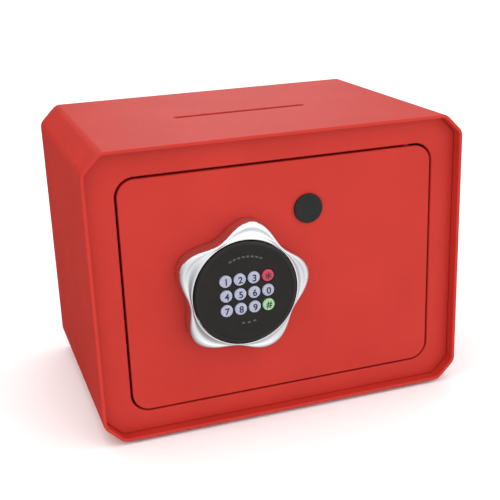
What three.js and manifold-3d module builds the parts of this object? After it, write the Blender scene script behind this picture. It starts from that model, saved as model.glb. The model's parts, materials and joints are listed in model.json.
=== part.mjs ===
// Toy safe coin bank: a small steel safe with a swinging door, a star-shaped knob ring around a fixed
// keypad, a two-bolt lock, and a coin slot in the roof.
//
// Frame: +X to the right, +Y from the front to the back, +Z up, millimetres. The origin is on the floor,
// under the centre of the whole object, knob included. Depths are measured back from the case's front lip.
import * as THREE from "three";
import { mergeVertices } from "three/addons/utils/BufferGeometryUtils.js";
import Module from "manifold-3d";

const wasm = await Module();
wasm.setup();

// ---- Driving dimensions, mm ----
const CLEARANCE = 0.3; // between touching pieces
const BITE = 1; // how far a cutting tool reaches past the faces that it cuts

const CASE_WIDTH = 225;
const CASE_HEIGHT = 170;
const CASE_DEPTH = 152;
const SHEET = 2;
const CHAMFER = 11; // leg of the 45 degree corner
const BEND_RADIUS = 6;
const FOOT_HEIGHT = 2;
const FOOT_RADIUS = 6;

const LIP_DEPTH = 6.5; // the front plate and door face lie this far behind the lip
const DOOR_WIDTH = 187.6;
const DOOR_HEIGHT = 136.8;
const DOOR_X = 0.7;
const DOOR_Z = 85.5;
const DOOR_CORNER = 10;
const DOOR_GAP = 1.3;
const DOOR_RIM_DEPTH = 10;
const FRAME_FLANGE_DEPTH = 8;

const SLOT_LENGTH = 84; // coin slot
const SLOT_X = -1;
const SLOT_WIDTH = 4.6;
const SLOT_DEPTH = 70.5;

const ANCHOR_X = 60; // holes for wall anchors in the back, each side of the middle
const ANCHOR_RADIUS = 4;
const MAT_THICKNESS = 1.5;
const MAT_LIFT = 0.2;
const MAT_HALF_WIDTH = 99;
const MAT_FRONT = 12;
const FOOT_X = 93;
const FOOT_INSET = 10; // from the case's front and rear edges

const KNOB_X = -27;
const KNOB_Z = 84.5;
const KNOB_PROUD = 7.4; // the keypad's face in front of the lip
const KEY_CROWN = 0.55; // the keys' tops in front of the keypad's face
const RING_RADIUS = 36.5; // mean radius of the star
const RING_WAVE = 3.9; // half the height of its lobes
const RING_LOBES = 5;
const STAR_STEPS = 60; // points round the star's outline
const RING_TURN = THREE.MathUtils.degToRad(79.9); // direction of the first lobe
const KEYPAD_RADIUS = 30.5;

const KEY_RADIUS = 3.6;
const KEY_PITCH_X = 8.3;
const KEY_PITCH_Z = 8.8;
const KEY_TRAVEL = 0.6;
const KEY_GRID_X = 0.5; // centre of the key grid, from the knob's axis

const PLUG_X = 16.5;
const PLUG_Z = 125;
const PLUG_RADIUS = 8.75;
const BARREL_RADIUS = 8.1;
const SPINDLE_RADIUS = 8;
const BUSH_RADIUS = 10.5;
const POST_RADIUS = 5;

const HINGE_INSET = 14; // hinge axis, from the door's right edge
const HINGE_DEPTH = 11;
const PIN_RADIUS = 2;
const PIN_REACH = 7; // beyond the door's edge
const PIN_HEAD_RADIUS = 3.2;
const PIN_HEAD_LENGTH = 1.5;
const PIN_HEAD_OFFSET = 0.9; // the head sits behind the axis, clear of the door's sheet

const CRANK_RADIUS = 14;
const CRANK_REST = THREE.MathUtils.degToRad(65);
const BOLT_TRAVEL = 11.9;
const BOLT_RADIUS = 6;
const BOLT_SPREAD = 30; // each bolt above or below the knob's axis
const BOLT_DEPTH = 25.3; // behind the door's rim
const BOLT_TIP_X = -89;

// ---- Derived places ----
const FRONT = -(CASE_DEPTH - KNOB_PROUD - KEY_CROWN) / 2;
const CASE_Z = FOOT_HEIGHT + CASE_HEIGHT / 2;
const FACE = LIP_DEPTH; // depth of the door's face
const INSIDE = FACE + SHEET; // depth of the door sheet's rear face
const DOOR_RIGHT = DOOR_X + DOOR_WIDTH / 2;
const HINGE_X = DOOR_RIGHT - HINGE_INSET;

// ---- Materials ----
const material = (color, roughness, metalness = 0) =>
  new THREE.MeshStandardMaterial({ color, roughness, metalness });
const redPaint = () => material(0xd23a32, 0.45);
const steel = () => material(0xb4b6b8, 0.35, 1);
const darkPlastic = () => material(0x2e2b2b, 0.5);

// ---- Solids and booleans ----
// A closed geometry as a solid; one whose profile ran the other way round is turned to face outwards.
function solid(geometry) {
  const bare = geometry.index ? geometry.toNonIndexed() : geometry.clone();
  bare.deleteAttribute("normal");
  bare.deleteAttribute("uv");
  const merged = mergeVertices(bare, 1e-4);
  const index = new Uint32Array(merged.index.array);
  const build = () =>
    new wasm.Manifold(
      new wasm.Mesh({ numProp: 3, vertProperties: merged.attributes.position.array, triVerts: index }),
    );
  const made = build();
  if (made.volume() >= 0) return made;
  for (let i = 0; i < index.length; i += 3) {
    [index[i + 1], index[i + 2]] = [index[i + 2], index[i + 1]];
  }
  return build();
}

const joined = (first, ...rest) => rest.reduce((sum, next) => sum.add(next), first);
const cut = (first, ...tools) => tools.reduce((left, tool) => left.subtract(tool), first);

function geometryOf(manifold) {
  const { vertProperties, triVerts, numProp } = manifold.getMesh();
  const positions = new Float32Array(triVerts.length * 3);
  triVerts.forEach((vertex, i) => {
    positions.set(vertProperties.subarray(vertex * numProp, vertex * numProp + 3), i * 3);
  });
  const geometry = new THREE.BufferGeometry();
  geometry.setAttribute("position", new THREE.BufferAttribute(positions, 3));
  geometry.computeVertexNormals();
  return geometry;
}

const part = new THREE.Group();
function add(name, manifold, look) {
  const mesh = new THREE.Mesh(geometryOf(manifold), look);
  mesh.name = name;
  part.add(mesh);
}

// ---- Shapes, drawn in X and Z as seen from the front ----
// A closed polygon with each corner rounded.
function roundedPolygon(points, radius) {
  const shape = new THREE.Shape();
  points.forEach((corner, i) => {
    const before = points.at(i - 1);
    const after = points[(i + 1) % points.length];
    const inward = before.clone().sub(corner).normalize();
    const outward = after.clone().sub(corner).normalize();
    const halfTurn = (Math.PI - Math.acos(inward.dot(outward))) / 2;
    const setback = radius * Math.tan(halfTurn);
    const start = inward.multiplyScalar(setback).add(corner);
    const end = outward.multiplyScalar(setback).add(corner);
    if (i === 0) shape.moveTo(start.x, start.y);
    else shape.lineTo(start.x, start.y);
    shape.quadraticCurveTo(corner.x, corner.y, end.x, end.y);
  });
  shape.closePath();
  return shape;
}

// The case's section: a rectangle with 45 degree corners, shrunk by an inset.
function caseOutline(inset) {
  const w = CASE_WIDTH / 2 - inset;
  const h = CASE_HEIGHT / 2 - inset;
  const c = CHAMFER - inset * (2 - Math.SQRT2);
  const corners = [
    [w, h - c], [w - c, h], [c - w, h], [-w, h - c],
    [-w, c - h], [c - w, -h], [w - c, -h], [w, c - h],
  ];
  const points = corners.map(([x, z]) => new THREE.Vector2(x, z + CASE_Z));
  return roundedPolygon(points, Math.max(BEND_RADIUS - inset, 0.6));
}

function roundedRectangle(cx, cz, width, height, radius) {
  const shape = new THREE.Shape();
  const x = width / 2 - radius;
  const z = height / 2 - radius;
  const quarter = Math.PI / 2;
  shape.absarc(cx + x, cz + z, radius, 0, quarter);
  shape.absarc(cx - x, cz + z, radius, quarter, 2 * quarter);
  shape.absarc(cx - x, cz - z, radius, 2 * quarter, 3 * quarter);
  shape.absarc(cx + x, cz - z, radius, 3 * quarter, 4 * quarter);
  shape.closePath();
  return shape;
}

const doorOutline = (grow) =>
  roundedRectangle(DOOR_X, DOOR_Z, DOOR_WIDTH + 2 * grow, DOOR_HEIGHT + 2 * grow, DOOR_CORNER + grow);

// The star: a circle whose radius swings once for each lobe.
function starOutline(inset, steps) {
  const points = [];
  for (let i = 0; i < steps; i++) {
    const angle = (i / steps) * 2 * Math.PI;
    const radius = RING_RADIUS - inset + RING_WAVE * Math.cos(RING_LOBES * (angle - RING_TURN));
    points.push(new THREE.Vector2(KNOB_X + radius * Math.cos(angle), KNOB_Z + radius * Math.sin(angle)));
  }
  return new THREE.Shape(points);
}

// ---- Solid makers; depths run back from the lip ----
// A shape in X and Z with a thickness, its front face at the given depth.
function plate(shape, depth, thickness, curveSegments = 5) {
  const options = { depth: thickness, bevelEnabled: false, curveSegments };
  const geometry = new THREE.ExtrudeGeometry(shape, options);
  geometry.rotateX(Math.PI / 2);
  geometry.translate(0, FRONT + depth + thickness, 0);
  return solid(geometry);
}

// A box between two corners, each given as [x, depth, z].
function block([x0, depth0, z0], [x1, depth1, z1]) {
  const geometry = new THREE.BoxGeometry(x1 - x0, depth1 - depth0, z1 - z0);
  geometry.translate((x0 + x1) / 2, FRONT + (depth0 + depth1) / 2, (z0 + z1) / 2);
  return solid(geometry);
}

// A solid of revolution about a front-to-back axis: the profile is a list of [radius, depth].
function turned(x, z, profile, segments = 20) {
  const closed = [...profile, profile[0]];
  const points = closed.map(([radius, depth]) => new THREE.Vector2(radius, FRONT + depth));
  const geometry = new THREE.LatheGeometry(points, segments);
  geometry.translate(x, 0, z);
  return solid(geometry);
}

const disc = (x, z, radius, depth0, depth1, segments = 20) =>
  turned(x, z, [[0, depth0], [radius, depth0], [radius, depth1], [0, depth1]], segments);

const tube = (x, z, inner, outer, depth0, depth1, segments = 20) =>
  turned(x, z, [[inner, depth0], [outer, depth0], [outer, depth1], [inner, depth1]], segments);

// A round bar along X or along Z.
function barX(x0, x1, depth, z, radius, segments = 20) {
  const geometry = new THREE.CylinderGeometry(radius, radius, x1 - x0, segments);
  geometry.rotateZ(Math.PI / 2);
  geometry.translate((x0 + x1) / 2, FRONT + depth, z);
  return solid(geometry);
}

function barZ(x, depth, z0, z1, radius, segments = 20) {
  const geometry = new THREE.CylinderGeometry(radius, radius, z1 - z0, segments);
  geometry.rotateX(Math.PI / 2);
  geometry.translate(x, FRONT + depth, (z0 + z1) / 2);
  return solid(geometry);
}

// A round lead along a smooth route of [x, depth, z] points.
function lead(route, radius, steps) {
  const points = route.map(([x, depth, z]) => new THREE.Vector3(x, FRONT + depth, z));
  const curve = new THREE.CatmullRomCurve3(points);
  const section = new THREE.Shape();
  section.absarc(0, 0, radius, 0, 2 * Math.PI);
  return solid(new THREE.ExtrudeGeometry(section, { extrudePath: curve, steps, curveSegments: 4 }));
}

// ---- Case ----
function makeCase() {
  const outer = plate(caseOutline(0), 0, CASE_DEPTH);
  const inner = plate(caseOutline(SHEET), -BITE, CASE_DEPTH + 2 * BITE);
  const slotEnd = SLOT_WIDTH / 2 - 0.01; // a hair under half the width, so that the ends stay proper arcs
  const slotShape = roundedRectangle(0, 0, SLOT_LENGTH, SLOT_WIDTH, slotEnd);
  const slotOptions = { depth: 3 * SHEET, bevelEnabled: false, curveSegments: 4 };
  const slot = new THREE.ExtrudeGeometry(slotShape, slotOptions);
  slot.translate(SLOT_X, FRONT + SLOT_DEPTH, FOOT_HEIGHT + CASE_HEIGHT - 2 * SHEET);
  add("case_shell", cut(outer, inner, solid(slot)), redPaint());

  const panelOutline = caseOutline(SHEET + CLEARANCE);
  const sheet = plate(panelOutline, FACE, SHEET);
  const doorway = plate(doorOutline(DOOR_GAP), FACE - BITE, DOOR_RIM_DEPTH + 2 * BITE, 6);
  const overlap = 0.1;
  const flangeDepth = FRAME_FLANGE_DEPTH + overlap;
  const flangeOuter = plate(doorOutline(DOOR_GAP + SHEET), INSIDE - overlap, flangeDepth, 6);
  add("front_frame", cut(joined(sheet, flangeOuter), doorway, pinHole()), redPaint());

  const backDepth = CASE_DEPTH - SHEET;
  const anchors = [-ANCHOR_X, ANCHOR_X].map((x) =>
    disc(x, CASE_Z, ANCHOR_RADIUS, backDepth - BITE, CASE_DEPTH + BITE, 16),
  );
  add("back_panel", cut(plate(panelOutline, backDepth, SHEET), ...anchors), redPaint());

  const matLow = FOOT_HEIGHT + SHEET + MAT_LIFT;
  const mat = block(
    [-MAT_HALF_WIDTH, MAT_FRONT, matLow],
    [MAT_HALF_WIDTH, backDepth - BITE, matLow + MAT_THICKNESS],
  );
  add("floor_mat", mat, material(0x3a3a3c, 0.95));

  const footTop = FOOT_HEIGHT - 0.02; // a hair under the case's floor
  for (const [side, x] of [["left", -FOOT_X], ["right", FOOT_X]]) {
    for (const [end, depth] of [["front", FOOT_INSET], ["rear", CASE_DEPTH - FOOT_INSET]]) {
      add(`foot_${end}_${side}`, barZ(x, depth, 0, footTop, FOOT_RADIUS), material(0x232323, 0.9));
    }
  }
}

// ---- Door: a pressed pan with its hinge pins ----
const pinHole = () => barZ(HINGE_X, HINGE_DEPTH, 0, CASE_HEIGHT, PIN_RADIUS + CLEARANCE);

const doorHole = (x, z, radius) => disc(x, z, radius, FACE - BITE, INSIDE + BITE);

function makeDoor() {
  const pan = plate(doorOutline(0), FACE, SHEET + DOOR_RIM_DEPTH, 6);
  const hollow = plate(doorOutline(-SHEET), INSIDE, DOOR_RIM_DEPTH + BITE, 6);
  const knobHole = doorHole(KNOB_X, KNOB_Z, BUSH_RADIUS + 0.5);
  const lockHole = doorHole(PLUG_X, PLUG_Z, BARREL_RADIUS + CLEARANCE);
  add("door_panel", cut(pan, hollow, knobHole, lockHole, pinHole()), redPaint());

  const overlap = 0.5;
  const headDepth = HINGE_DEPTH + PIN_HEAD_OFFSET;
  for (const [name, side] of [["top", 1], ["bottom", -1]]) {
    const edge = DOOR_Z + (side * DOOR_HEIGHT) / 2; // the pin stands across this edge of the door
    const seat = edge - side * (SHEET + CLEARANCE);
    const head = barBetween(headDepth, seat - side * PIN_HEAD_LENGTH, seat, PIN_HEAD_RADIUS);
    const shaftStart = seat - side * (PIN_HEAD_LENGTH - overlap);
    const shaft = barBetween(HINGE_DEPTH, shaftStart, edge + side * PIN_REACH, PIN_RADIUS);
    add(`hinge_pin_${name}`, joined(head, shaft), redPaint());
  }
}

// An upright bar on the hinge's line, between two heights given in either order.
const barBetween = (depth, z0, z1, radius) =>
  barZ(HINGE_X, depth, Math.min(z0, z1), Math.max(z0, z1), radius);

// ---- Keypad: a still disc held by a post through the knob's hollow spindle ----
const KEY_NAMES = [
  ["1", "2", "3", "red"],
  ["4", "5", "6", "0"],
  ["7", "8", "9", "green"],
];
const KEY_COLORS = { red: 0xd64655, green: 0xb7d9b1 };
const KEYPAD_WALL = 2;
const KEYPAD_FACE = -KNOB_PROUD; // depth of the keypad's front
const STRAP_DEPTH = 24; // front of the strap that holds the post's rear end
const POST_END = 29;

const keyPlace = (row, column) => [
  KNOB_X + KEY_GRID_X + (column - 1.5) * KEY_PITCH_X,
  KNOB_Z + (1 - row) * KEY_PITCH_Z,
];

// A key: a stem that reaches the mat, a body, and a crown with a sloped edge.
function keyAt(x, z) {
  const face = KEYPAD_FACE;
  const stemRadius = KEY_RADIUS - 1.4;
  const floor = face + KEYPAD_WALL;
  const crown = turned(x, z, [
    [0, face - KEY_CROWN], [KEY_RADIUS - 1.2, face - KEY_CROWN], [KEY_RADIUS - 0.3, face - 0.2],
    [KEY_RADIUS, face + 0.3], [KEY_RADIUS, floor], [0, floor],
  ], 14);
  return joined(crown, disc(x, z, stemRadius, floor - 0.1, floor + 1.3, 8));
}

function makeKeypad() {
  const face = KEYPAD_FACE;
  const back = 1.9;
  const rim = 1.6;
  const inner = KEYPAD_RADIUS - KEYPAD_WALL;
  const floor = face + KEYPAD_WALL;
  let housing = turned(KNOB_X, KNOB_Z, [
    [0, face], [KEYPAD_RADIUS - rim, face], [KEYPAD_RADIUS - 0.5, face + 0.5], [KEYPAD_RADIUS, face + rim],
    [KEYPAD_RADIUS, back], [inner, back], [inner, floor], [0, floor],
  ], 40);
  const boardRadius = inner - 0.5;
  const matFront = floor + KEY_TRAVEL + CLEARANCE;
  const matBack = matFront + 1;
  let mat = disc(KNOB_X, KNOB_Z, boardRadius, matFront, matBack, 28);
  KEY_NAMES.forEach((names, row) => {
    names.forEach((name, column) => {
      const [x, z] = keyPlace(row, column);
      housing = cut(housing, disc(x, z, KEY_RADIUS + CLEARANCE, face - BITE, floor + BITE, 14));
      mat = cut(mat, disc(x, z, KEY_RADIUS - 1, matFront - BITE, matBack + BITE, 8));
      add(`key_${name}`, keyAt(x, z), material(KEY_COLORS[name] ?? 0xc3c3d4, 0.4));
    });
  });
  add("keypad_housing", housing, darkPlastic());
  add("key_mat", mat, material(0x55565a, 0.9));
  add("keypad_board", disc(KNOB_X, KNOB_Z, boardRadius, -2.6, -1.2, 28), material(0x1f6b3a, 0.6));

  const bore = 3.5;
  const post = turned(KNOB_X, KNOB_Z, [
    [bore, 0], [boardRadius, 0], [boardRadius, 1.6], [POST_RADIUS, 1.6], [POST_RADIUS, POST_END],
    [bore, POST_END],
  ], 24);
  add("keypad_post", post, steel());

  // The lead runs through the post, then up to the control board.
  const route = [
    [-0.8, 0], [12, 0], [27, 0], [30.6, 2.6], [31.8, 7], [33.2, 10.4], [35.2, 11],
  ].map(([depth, rise]) => [KNOB_X, depth, KNOB_Z + rise]);
  add("keypad_lead", lead(route, 1.2, 28), material(0x8a8a8d, 0.7));

  const halfWidth = 8;
  const legRise = 34; // from the knob's axis to the outside of each leg
  const footRise = 44;
  const footFront = INSIDE + CLEARANCE;
  const left = KNOB_X - halfWidth;
  const right = KNOB_X + halfWidth;
  const across = block(
    [left, STRAP_DEPTH, KNOB_Z - legRise],
    [right, STRAP_DEPTH + SHEET, KNOB_Z + legRise],
  );
  const limbs = [-1, 1].flatMap((side) => [
    blockUp(side, left, right, footFront, STRAP_DEPTH + SHEET / 2, legRise - SHEET, legRise),
    blockUp(side, left, right, footFront, INSIDE + SHEET, legRise - SHEET / 2, footRise),
  ]);
  const postHole = disc(KNOB_X, KNOB_Z, POST_RADIUS + CLEARANCE, STRAP_DEPTH - BITE, POST_END);
  add("keypad_bridge", cut(joined(across, ...limbs), postHole), steel());
}

// A block above the knob's axis, or the same distance below it, between two rises from the axis.
function blockUp(side, x0, x1, depth0, depth1, rise0, rise1) {
  const [low, high] = side > 0 ? [rise0, rise1] : [-rise1, -rise0];
  return block([x0, depth0, KNOB_Z + low], [x1, depth1, KNOB_Z + high]);
}

// ---- Knob: the star ring, its hollow spindle and the crank that throws the bolts ----
const CRANK_X = KNOB_X + CRANK_RADIUS * Math.cos(CRANK_REST);
const CRANK_RISE = CRANK_RADIUS * Math.sin(CRANK_REST);
const CAM_DEPTH = 12;
const CAM_THICKNESS = 3;

function makeKnob() {
  const crest = -4; // depth of the star's outer edge
  const web = 2.5; // front of the web that carries the ring
  const back = FACE - 0.6;
  const bevel = 1.6;
  const spare = 4; // the star starts too deep, and is then cut off at its back
  const star = new THREE.ExtrudeGeometry(starOutline(bevel, STAR_STEPS), {
    depth: back - crest + spare, bevelThickness: bevel, bevelSize: bevel, bevelSegments: 2,
    curveSegments: 1,
  });
  star.rotateX(Math.PI / 2);
  star.translate(0, FRONT + back + spare + bevel, 0);
  const reach = RING_RADIUS + RING_WAVE + 10;
  const before = crest - 10;
  const kept = block(
    [KNOB_X - reach, before, KNOB_Z - reach],
    [KNOB_X + reach, back, KNOB_Z + reach],
  );
  const shoulder = turned(KNOB_X, KNOB_Z, [
    [KEYPAD_RADIUS - 2, crest - 1.8], [KEYPAD_RADIUS + 0.8, crest - 1.8],
    [KEYPAD_RADIUS + 1.6, crest + 1], [KEYPAD_RADIUS - 2, crest + 1],
  ], 40);
  const bore = disc(KNOB_X, KNOB_Z, KEYPAD_RADIUS + 0.5, before, web, 40);
  const pocketFront = -1;
  const lobePockets = cut(
    plate(starOutline(2.4, STAR_STEPS), pocketFront, back + 2),
    disc(KNOB_X, KNOB_Z, KEYPAD_RADIUS + 2.2, pocketFront - BITE, back + 2, 40),
  );
  const flangeRadius = 16;
  const seatDepth = web + 1.7;
  const seat = disc(KNOB_X, KNOB_Z, flangeRadius + CLEARANCE, web - BITE, seatDepth, 24);
  const eye = disc(KNOB_X, KNOB_Z, SPINDLE_RADIUS + CLEARANCE, web, back + BITE, 24);
  const body = joined(solid(star).intersect(kept), shoulder);
  add("knob_ring", cut(body, bore, lobePockets, seat, eye), material(0xd8d8da, 0.3, 0.9));

  const inner = POST_RADIUS + 0.4;
  const flangeBack = seatDepth - CLEARANCE;
  const spindleEnd = 17.4;
  const spindle = turned(KNOB_X, KNOB_Z, [
    [inner, web], [flangeRadius, web], [flangeRadius, flangeBack], [SPINDLE_RADIUS, flangeBack],
    [SPINDLE_RADIUS, spindleEnd], [inner, spindleEnd],
  ], 24);
  add("knob_spindle", spindle, steel());

  const bushBore = SPINDLE_RADIUS + CLEARANCE;
  const bushBack = 10.6;
  const bush = turned(KNOB_X, KNOB_Z, [
    [bushBore, FACE - 0.1], [BUSH_RADIUS, FACE - 0.1], [BUSH_RADIUS, INSIDE + CLEARANCE],
    [14, INSIDE + CLEARANCE], [14, bushBack], [bushBore, bushBack],
  ], 24);
  add("spindle_bush", bush, material(0xe9e6dc, 0.5));

  const armTip = CRANK_RADIUS + 3;
  const arm = new THREE.Shape(
    [[-10, -4], [10, -4], [4.5, armTip], [-4.5, armTip]].map(([x, y]) => new THREE.Vector2(x, y)),
  );
  const armGeometry = new THREE.ExtrudeGeometry(arm, { depth: CAM_THICKNESS, bevelEnabled: false });
  armGeometry.rotateX(Math.PI / 2);
  armGeometry.rotateY(Math.PI / 2 - CRANK_REST);
  const camBack = CAM_DEPTH + CAM_THICKNESS;
  armGeometry.translate(KNOB_X, FRONT + camBack, KNOB_Z);
  const cam = joined(
    disc(KNOB_X, KNOB_Z, 12, CAM_DEPTH, camBack),
    solid(armGeometry),
    disc(CRANK_X, KNOB_Z + CRANK_RISE, 2, camBack - 0.5, CARRIAGE_DEPTH + SHEET + 1, 16),
  );
  add("drive_cam", cut(cam, disc(KNOB_X, KNOB_Z, bushBore, CAM_DEPTH - BITE, camBack + BITE)), steel());
  add("spindle_clip", tube(KNOB_X, KNOB_Z, bushBore, 11, camBack + 0.4, camBack + 1.4), steel());
}

// ---- Bolt work: a carriage with two bolts, slid sideways by the crank pin ----
const CARRIAGE_LEFT = -62;
const CARRIAGE_RIGHT = 17;
const CARRIAGE_TOP = KNOB_Z + 20;
const CARRIAGE_DEPTH = 18; // front face of its plate
const PLUNGER_X = -5;

function makeBoltWork() {
  const reach = BOLT_SPREAD + 9;
  const rear = CARRIAGE_DEPTH + SHEET;
  const plateLow = KNOB_Z - 12;
  const body = joined(
    block([CARRIAGE_LEFT, CARRIAGE_DEPTH, plateLow], [CARRIAGE_RIGHT, rear, CARRIAGE_TOP]),
    block([CARRIAGE_LEFT, CARRIAGE_DEPTH, KNOB_Z - reach], [CARRIAGE_LEFT + 12, rear, KNOB_Z + reach]),
    block([CARRIAGE_LEFT, CARRIAGE_DEPTH, KNOB_Z - reach], [CARRIAGE_LEFT + SHEET, 32, KNOB_Z + reach]),
  );
  const cutFrom = CARRIAGE_DEPTH - BITE;
  const cutLength = SHEET + 2 * BITE;
  const windowHeight = 2 * POST_RADIUS + 1.4; // round the keypad's post, along the whole travel
  const windowShape = roundedRectangle(
    KNOB_X + BOLT_TRAVEL / 2, KNOB_Z, BOLT_TRAVEL + windowHeight, windowHeight, windowHeight / 2 - 0.01,
  );
  const postWindow = plate(windowShape, cutFrom, cutLength, 5);
  const slotWidth = 4.7; // for the crank pin, which rises as it turns
  const slotHeight = CRANK_RADIUS - CRANK_RISE + slotWidth + 0.5;
  const slotShape = roundedRectangle(
    CRANK_X, KNOB_Z + (CRANK_RISE + CRANK_RADIUS) / 2, slotWidth, slotHeight, slotWidth / 2 - 0.01,
  );
  const crankSlot = plate(slotShape, cutFrom, cutLength, 4);
  const notchX = PLUNGER_X + BOLT_TRAVEL;
  const notch = block(
    [notchX - 3.5, cutFrom, CARRIAGE_TOP - 4],
    [notchX + 3.5, rear + BITE, CARRIAGE_TOP + BITE],
  );
  add("bolt_carriage", cut(body, postWindow, crankSlot, notch), steel());

  const tipLength = 1.2;
  for (const [name, side] of [["upper", 1], ["lower", -1]]) {
    const z = KNOB_Z + side * BOLT_SPREAD;
    const tip = new THREE.CylinderGeometry(BOLT_RADIUS - tipLength, BOLT_RADIUS, tipLength, 24);
    tip.rotateZ(Math.PI / 2);
    tip.translate(BOLT_TIP_X + tipLength / 2, FRONT + BOLT_DEPTH, z);
    const shankEnd = CARRIAGE_LEFT - CLEARANCE;
    const shank = barX(BOLT_TIP_X + tipLength, shankEnd, BOLT_DEPTH, z, BOLT_RADIUS, 24);
    add(`bolt_${name}`, joined(shank, solid(tip)), steel());
  }

  const guideLeft = -84.2;
  const guideRight = guideLeft + SHEET;
  const guideFront = INSIDE + CLEARANCE;
  const guideReach = 42;
  let guide = joined(
    block([guideLeft, guideFront, KNOB_Z - guideReach], [guideRight, 34, KNOB_Z + guideReach]),
    block(
      [guideRight - 1, guideFront, KNOB_Z - guideReach],
      [guideRight + 10, INSIDE + 2.3, KNOB_Z + guideReach],
    ),
  );
  for (const side of [-1, 1]) {
    const z = KNOB_Z + side * BOLT_SPREAD;
    const hole = barX(guideLeft - BITE, guideRight + BITE, BOLT_DEPTH, z, BOLT_RADIUS + CLEARANCE, 24);
    guide = cut(guide, hole);
  }
  add("bolt_guide", guide, steel());
}

// ---- Solenoid: its plunger drops into the carriage's notch when the bolts are thrown ----
function makeSolenoid() {
  const depth = CARRIAGE_DEPTH + SHEET / 2;
  const low = KNOB_Z + 25.5;
  const high = low + 22;
  const half = 8;
  const strip = 1.5;
  const shell = block(
    [PLUNGER_X - half, depth - half, low - strip],
    [PLUNGER_X + half, depth + half, high + strip],
  );
  const window = block(
    [PLUNGER_X - half - BITE, depth - half + 1.2, low],
    [PLUNGER_X + half + BITE, depth + half + BITE, high],
  );
  const rod = 2.5;
  const bore = barZ(PLUNGER_X, depth, low - 4, high + 4, rod + 0.4);
  add("solenoid_frame", cut(shell, window, bore), steel());
  const coil = barZ(PLUNGER_X, depth + 0.9, low + CLEARANCE, high - CLEARANCE, 6.4, 24);
  add("solenoid_coil", cut(coil, bore), material(0xb5552b, 0.4));
  const tip = CARRIAGE_TOP + CLEARANCE;
  const collar = barZ(PLUNGER_X, depth, tip + 1, tip + 2.2, rod + 1.1);
  add("solenoid_plunger", joined(barZ(PLUNGER_X, depth, tip, high + 5, rod), collar), steel());
}

// ---- Override lock behind the round cover ----
function makeOverrideLock() {
  const front = FACE + 0.4;
  const coreRadius = 5;
  const coreFront = 10.6;
  const barrelBack = 27;
  const mouth = 5.9; // the wider bore in front, where the plug pushes in
  const bore = coreRadius + CLEARANCE;
  const barrel = turned(PLUG_X, PLUG_Z, [
    [mouth, front], [BARREL_RADIUS, front], [BARREL_RADIUS, barrelBack], [bore, barrelBack],
    [bore, coreFront + 0.4], [mouth, coreFront + 0.4],
  ]);
  add("override_barrel", barrel, steel());
  const nutBack = 12.6;
  const hexagon = disc(PLUG_X, PLUG_Z, 11.5, INSIDE + CLEARANCE, nutBack, 6);
  const nutHole = disc(PLUG_X, PLUG_Z, BARREL_RADIUS + CLEARANCE, INSIDE, nutBack + BITE);
  add("override_nut", cut(hexagon, nutHole), steel());
  const coreBack = barrelBack + 2;
  const keyway = block(
    [PLUG_X - 0.6, coreFront - BITE, PLUG_Z - 3.2],
    [PLUG_X + 0.6, 20, PLUG_Z + 3.2],
  );
  const core = disc(PLUG_X, PLUG_Z, coreRadius, coreFront, coreBack);
  add("override_core", cut(core, keyway), material(0xc9a24a, 0.35, 1));
  const camFront = coreBack + CLEARANCE;
  const camBack = camFront + SHEET;
  const arm = joined(
    disc(PLUG_X, PLUG_Z, 7.5, camFront, camBack),
    block([PLUG_X - 4, camFront, PLUG_Z - 21], [PLUG_X + 4, camBack, PLUG_Z]),
  );
  add("override_cam", arm, steel());
  const coverFront = FACE - 1.4;
  const coverBack = FACE - 0.2;
  const stem = mouth - 0.4;
  const cover = turned(PLUG_X, PLUG_Z, [
    [0, coverFront], [PLUG_RADIUS - 0.9, coverFront], [PLUG_RADIUS, coverFront + 0.6],
    [PLUG_RADIUS, coverBack], [stem, coverBack], [stem, coreFront - 0.6], [0, coreFront - 0.6],
  ], 24);
  add("plug_cover", cover, darkPlastic());
}

// ---- Lock cover with the batteries, the board and the code button ----
const COVER = { left: -87, right: 75, bottom: 24, top: 146, back: 44, wall: 2 };
const BAY = { left: 7.5, right: 69.5, bottom: 37, top: 93 };
const RESET_X = -52;
const RESET_Z = 116;
const SCREW_RADIUS = 1.5;
const BOARD_DEPTH = 35.8;

function coverScrew(x, z) {
  const seat = COVER.back + CLEARANCE;
  const tip = COVER.back - 16;
  const screw = turned(x, z, [
    [0, tip], [SCREW_RADIUS, tip], [SCREW_RADIUS, seat], [3.2, seat], [2.6, seat + 1.4], [0, seat + 1.6],
  ], 16);
  const slotFloor = COVER.back + 0.9;
  const slotTop = COVER.back + 3;
  const long = 1.9;
  const narrow = 0.4;
  const driveSlots = joined(
    block([x - long, slotFloor, z - narrow], [x + long, slotTop, z + narrow]),
    block([x - narrow, slotFloor, z - long], [x + narrow, slotTop, z + long]),
  );
  return cut(screw, driveSlots);
}

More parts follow.
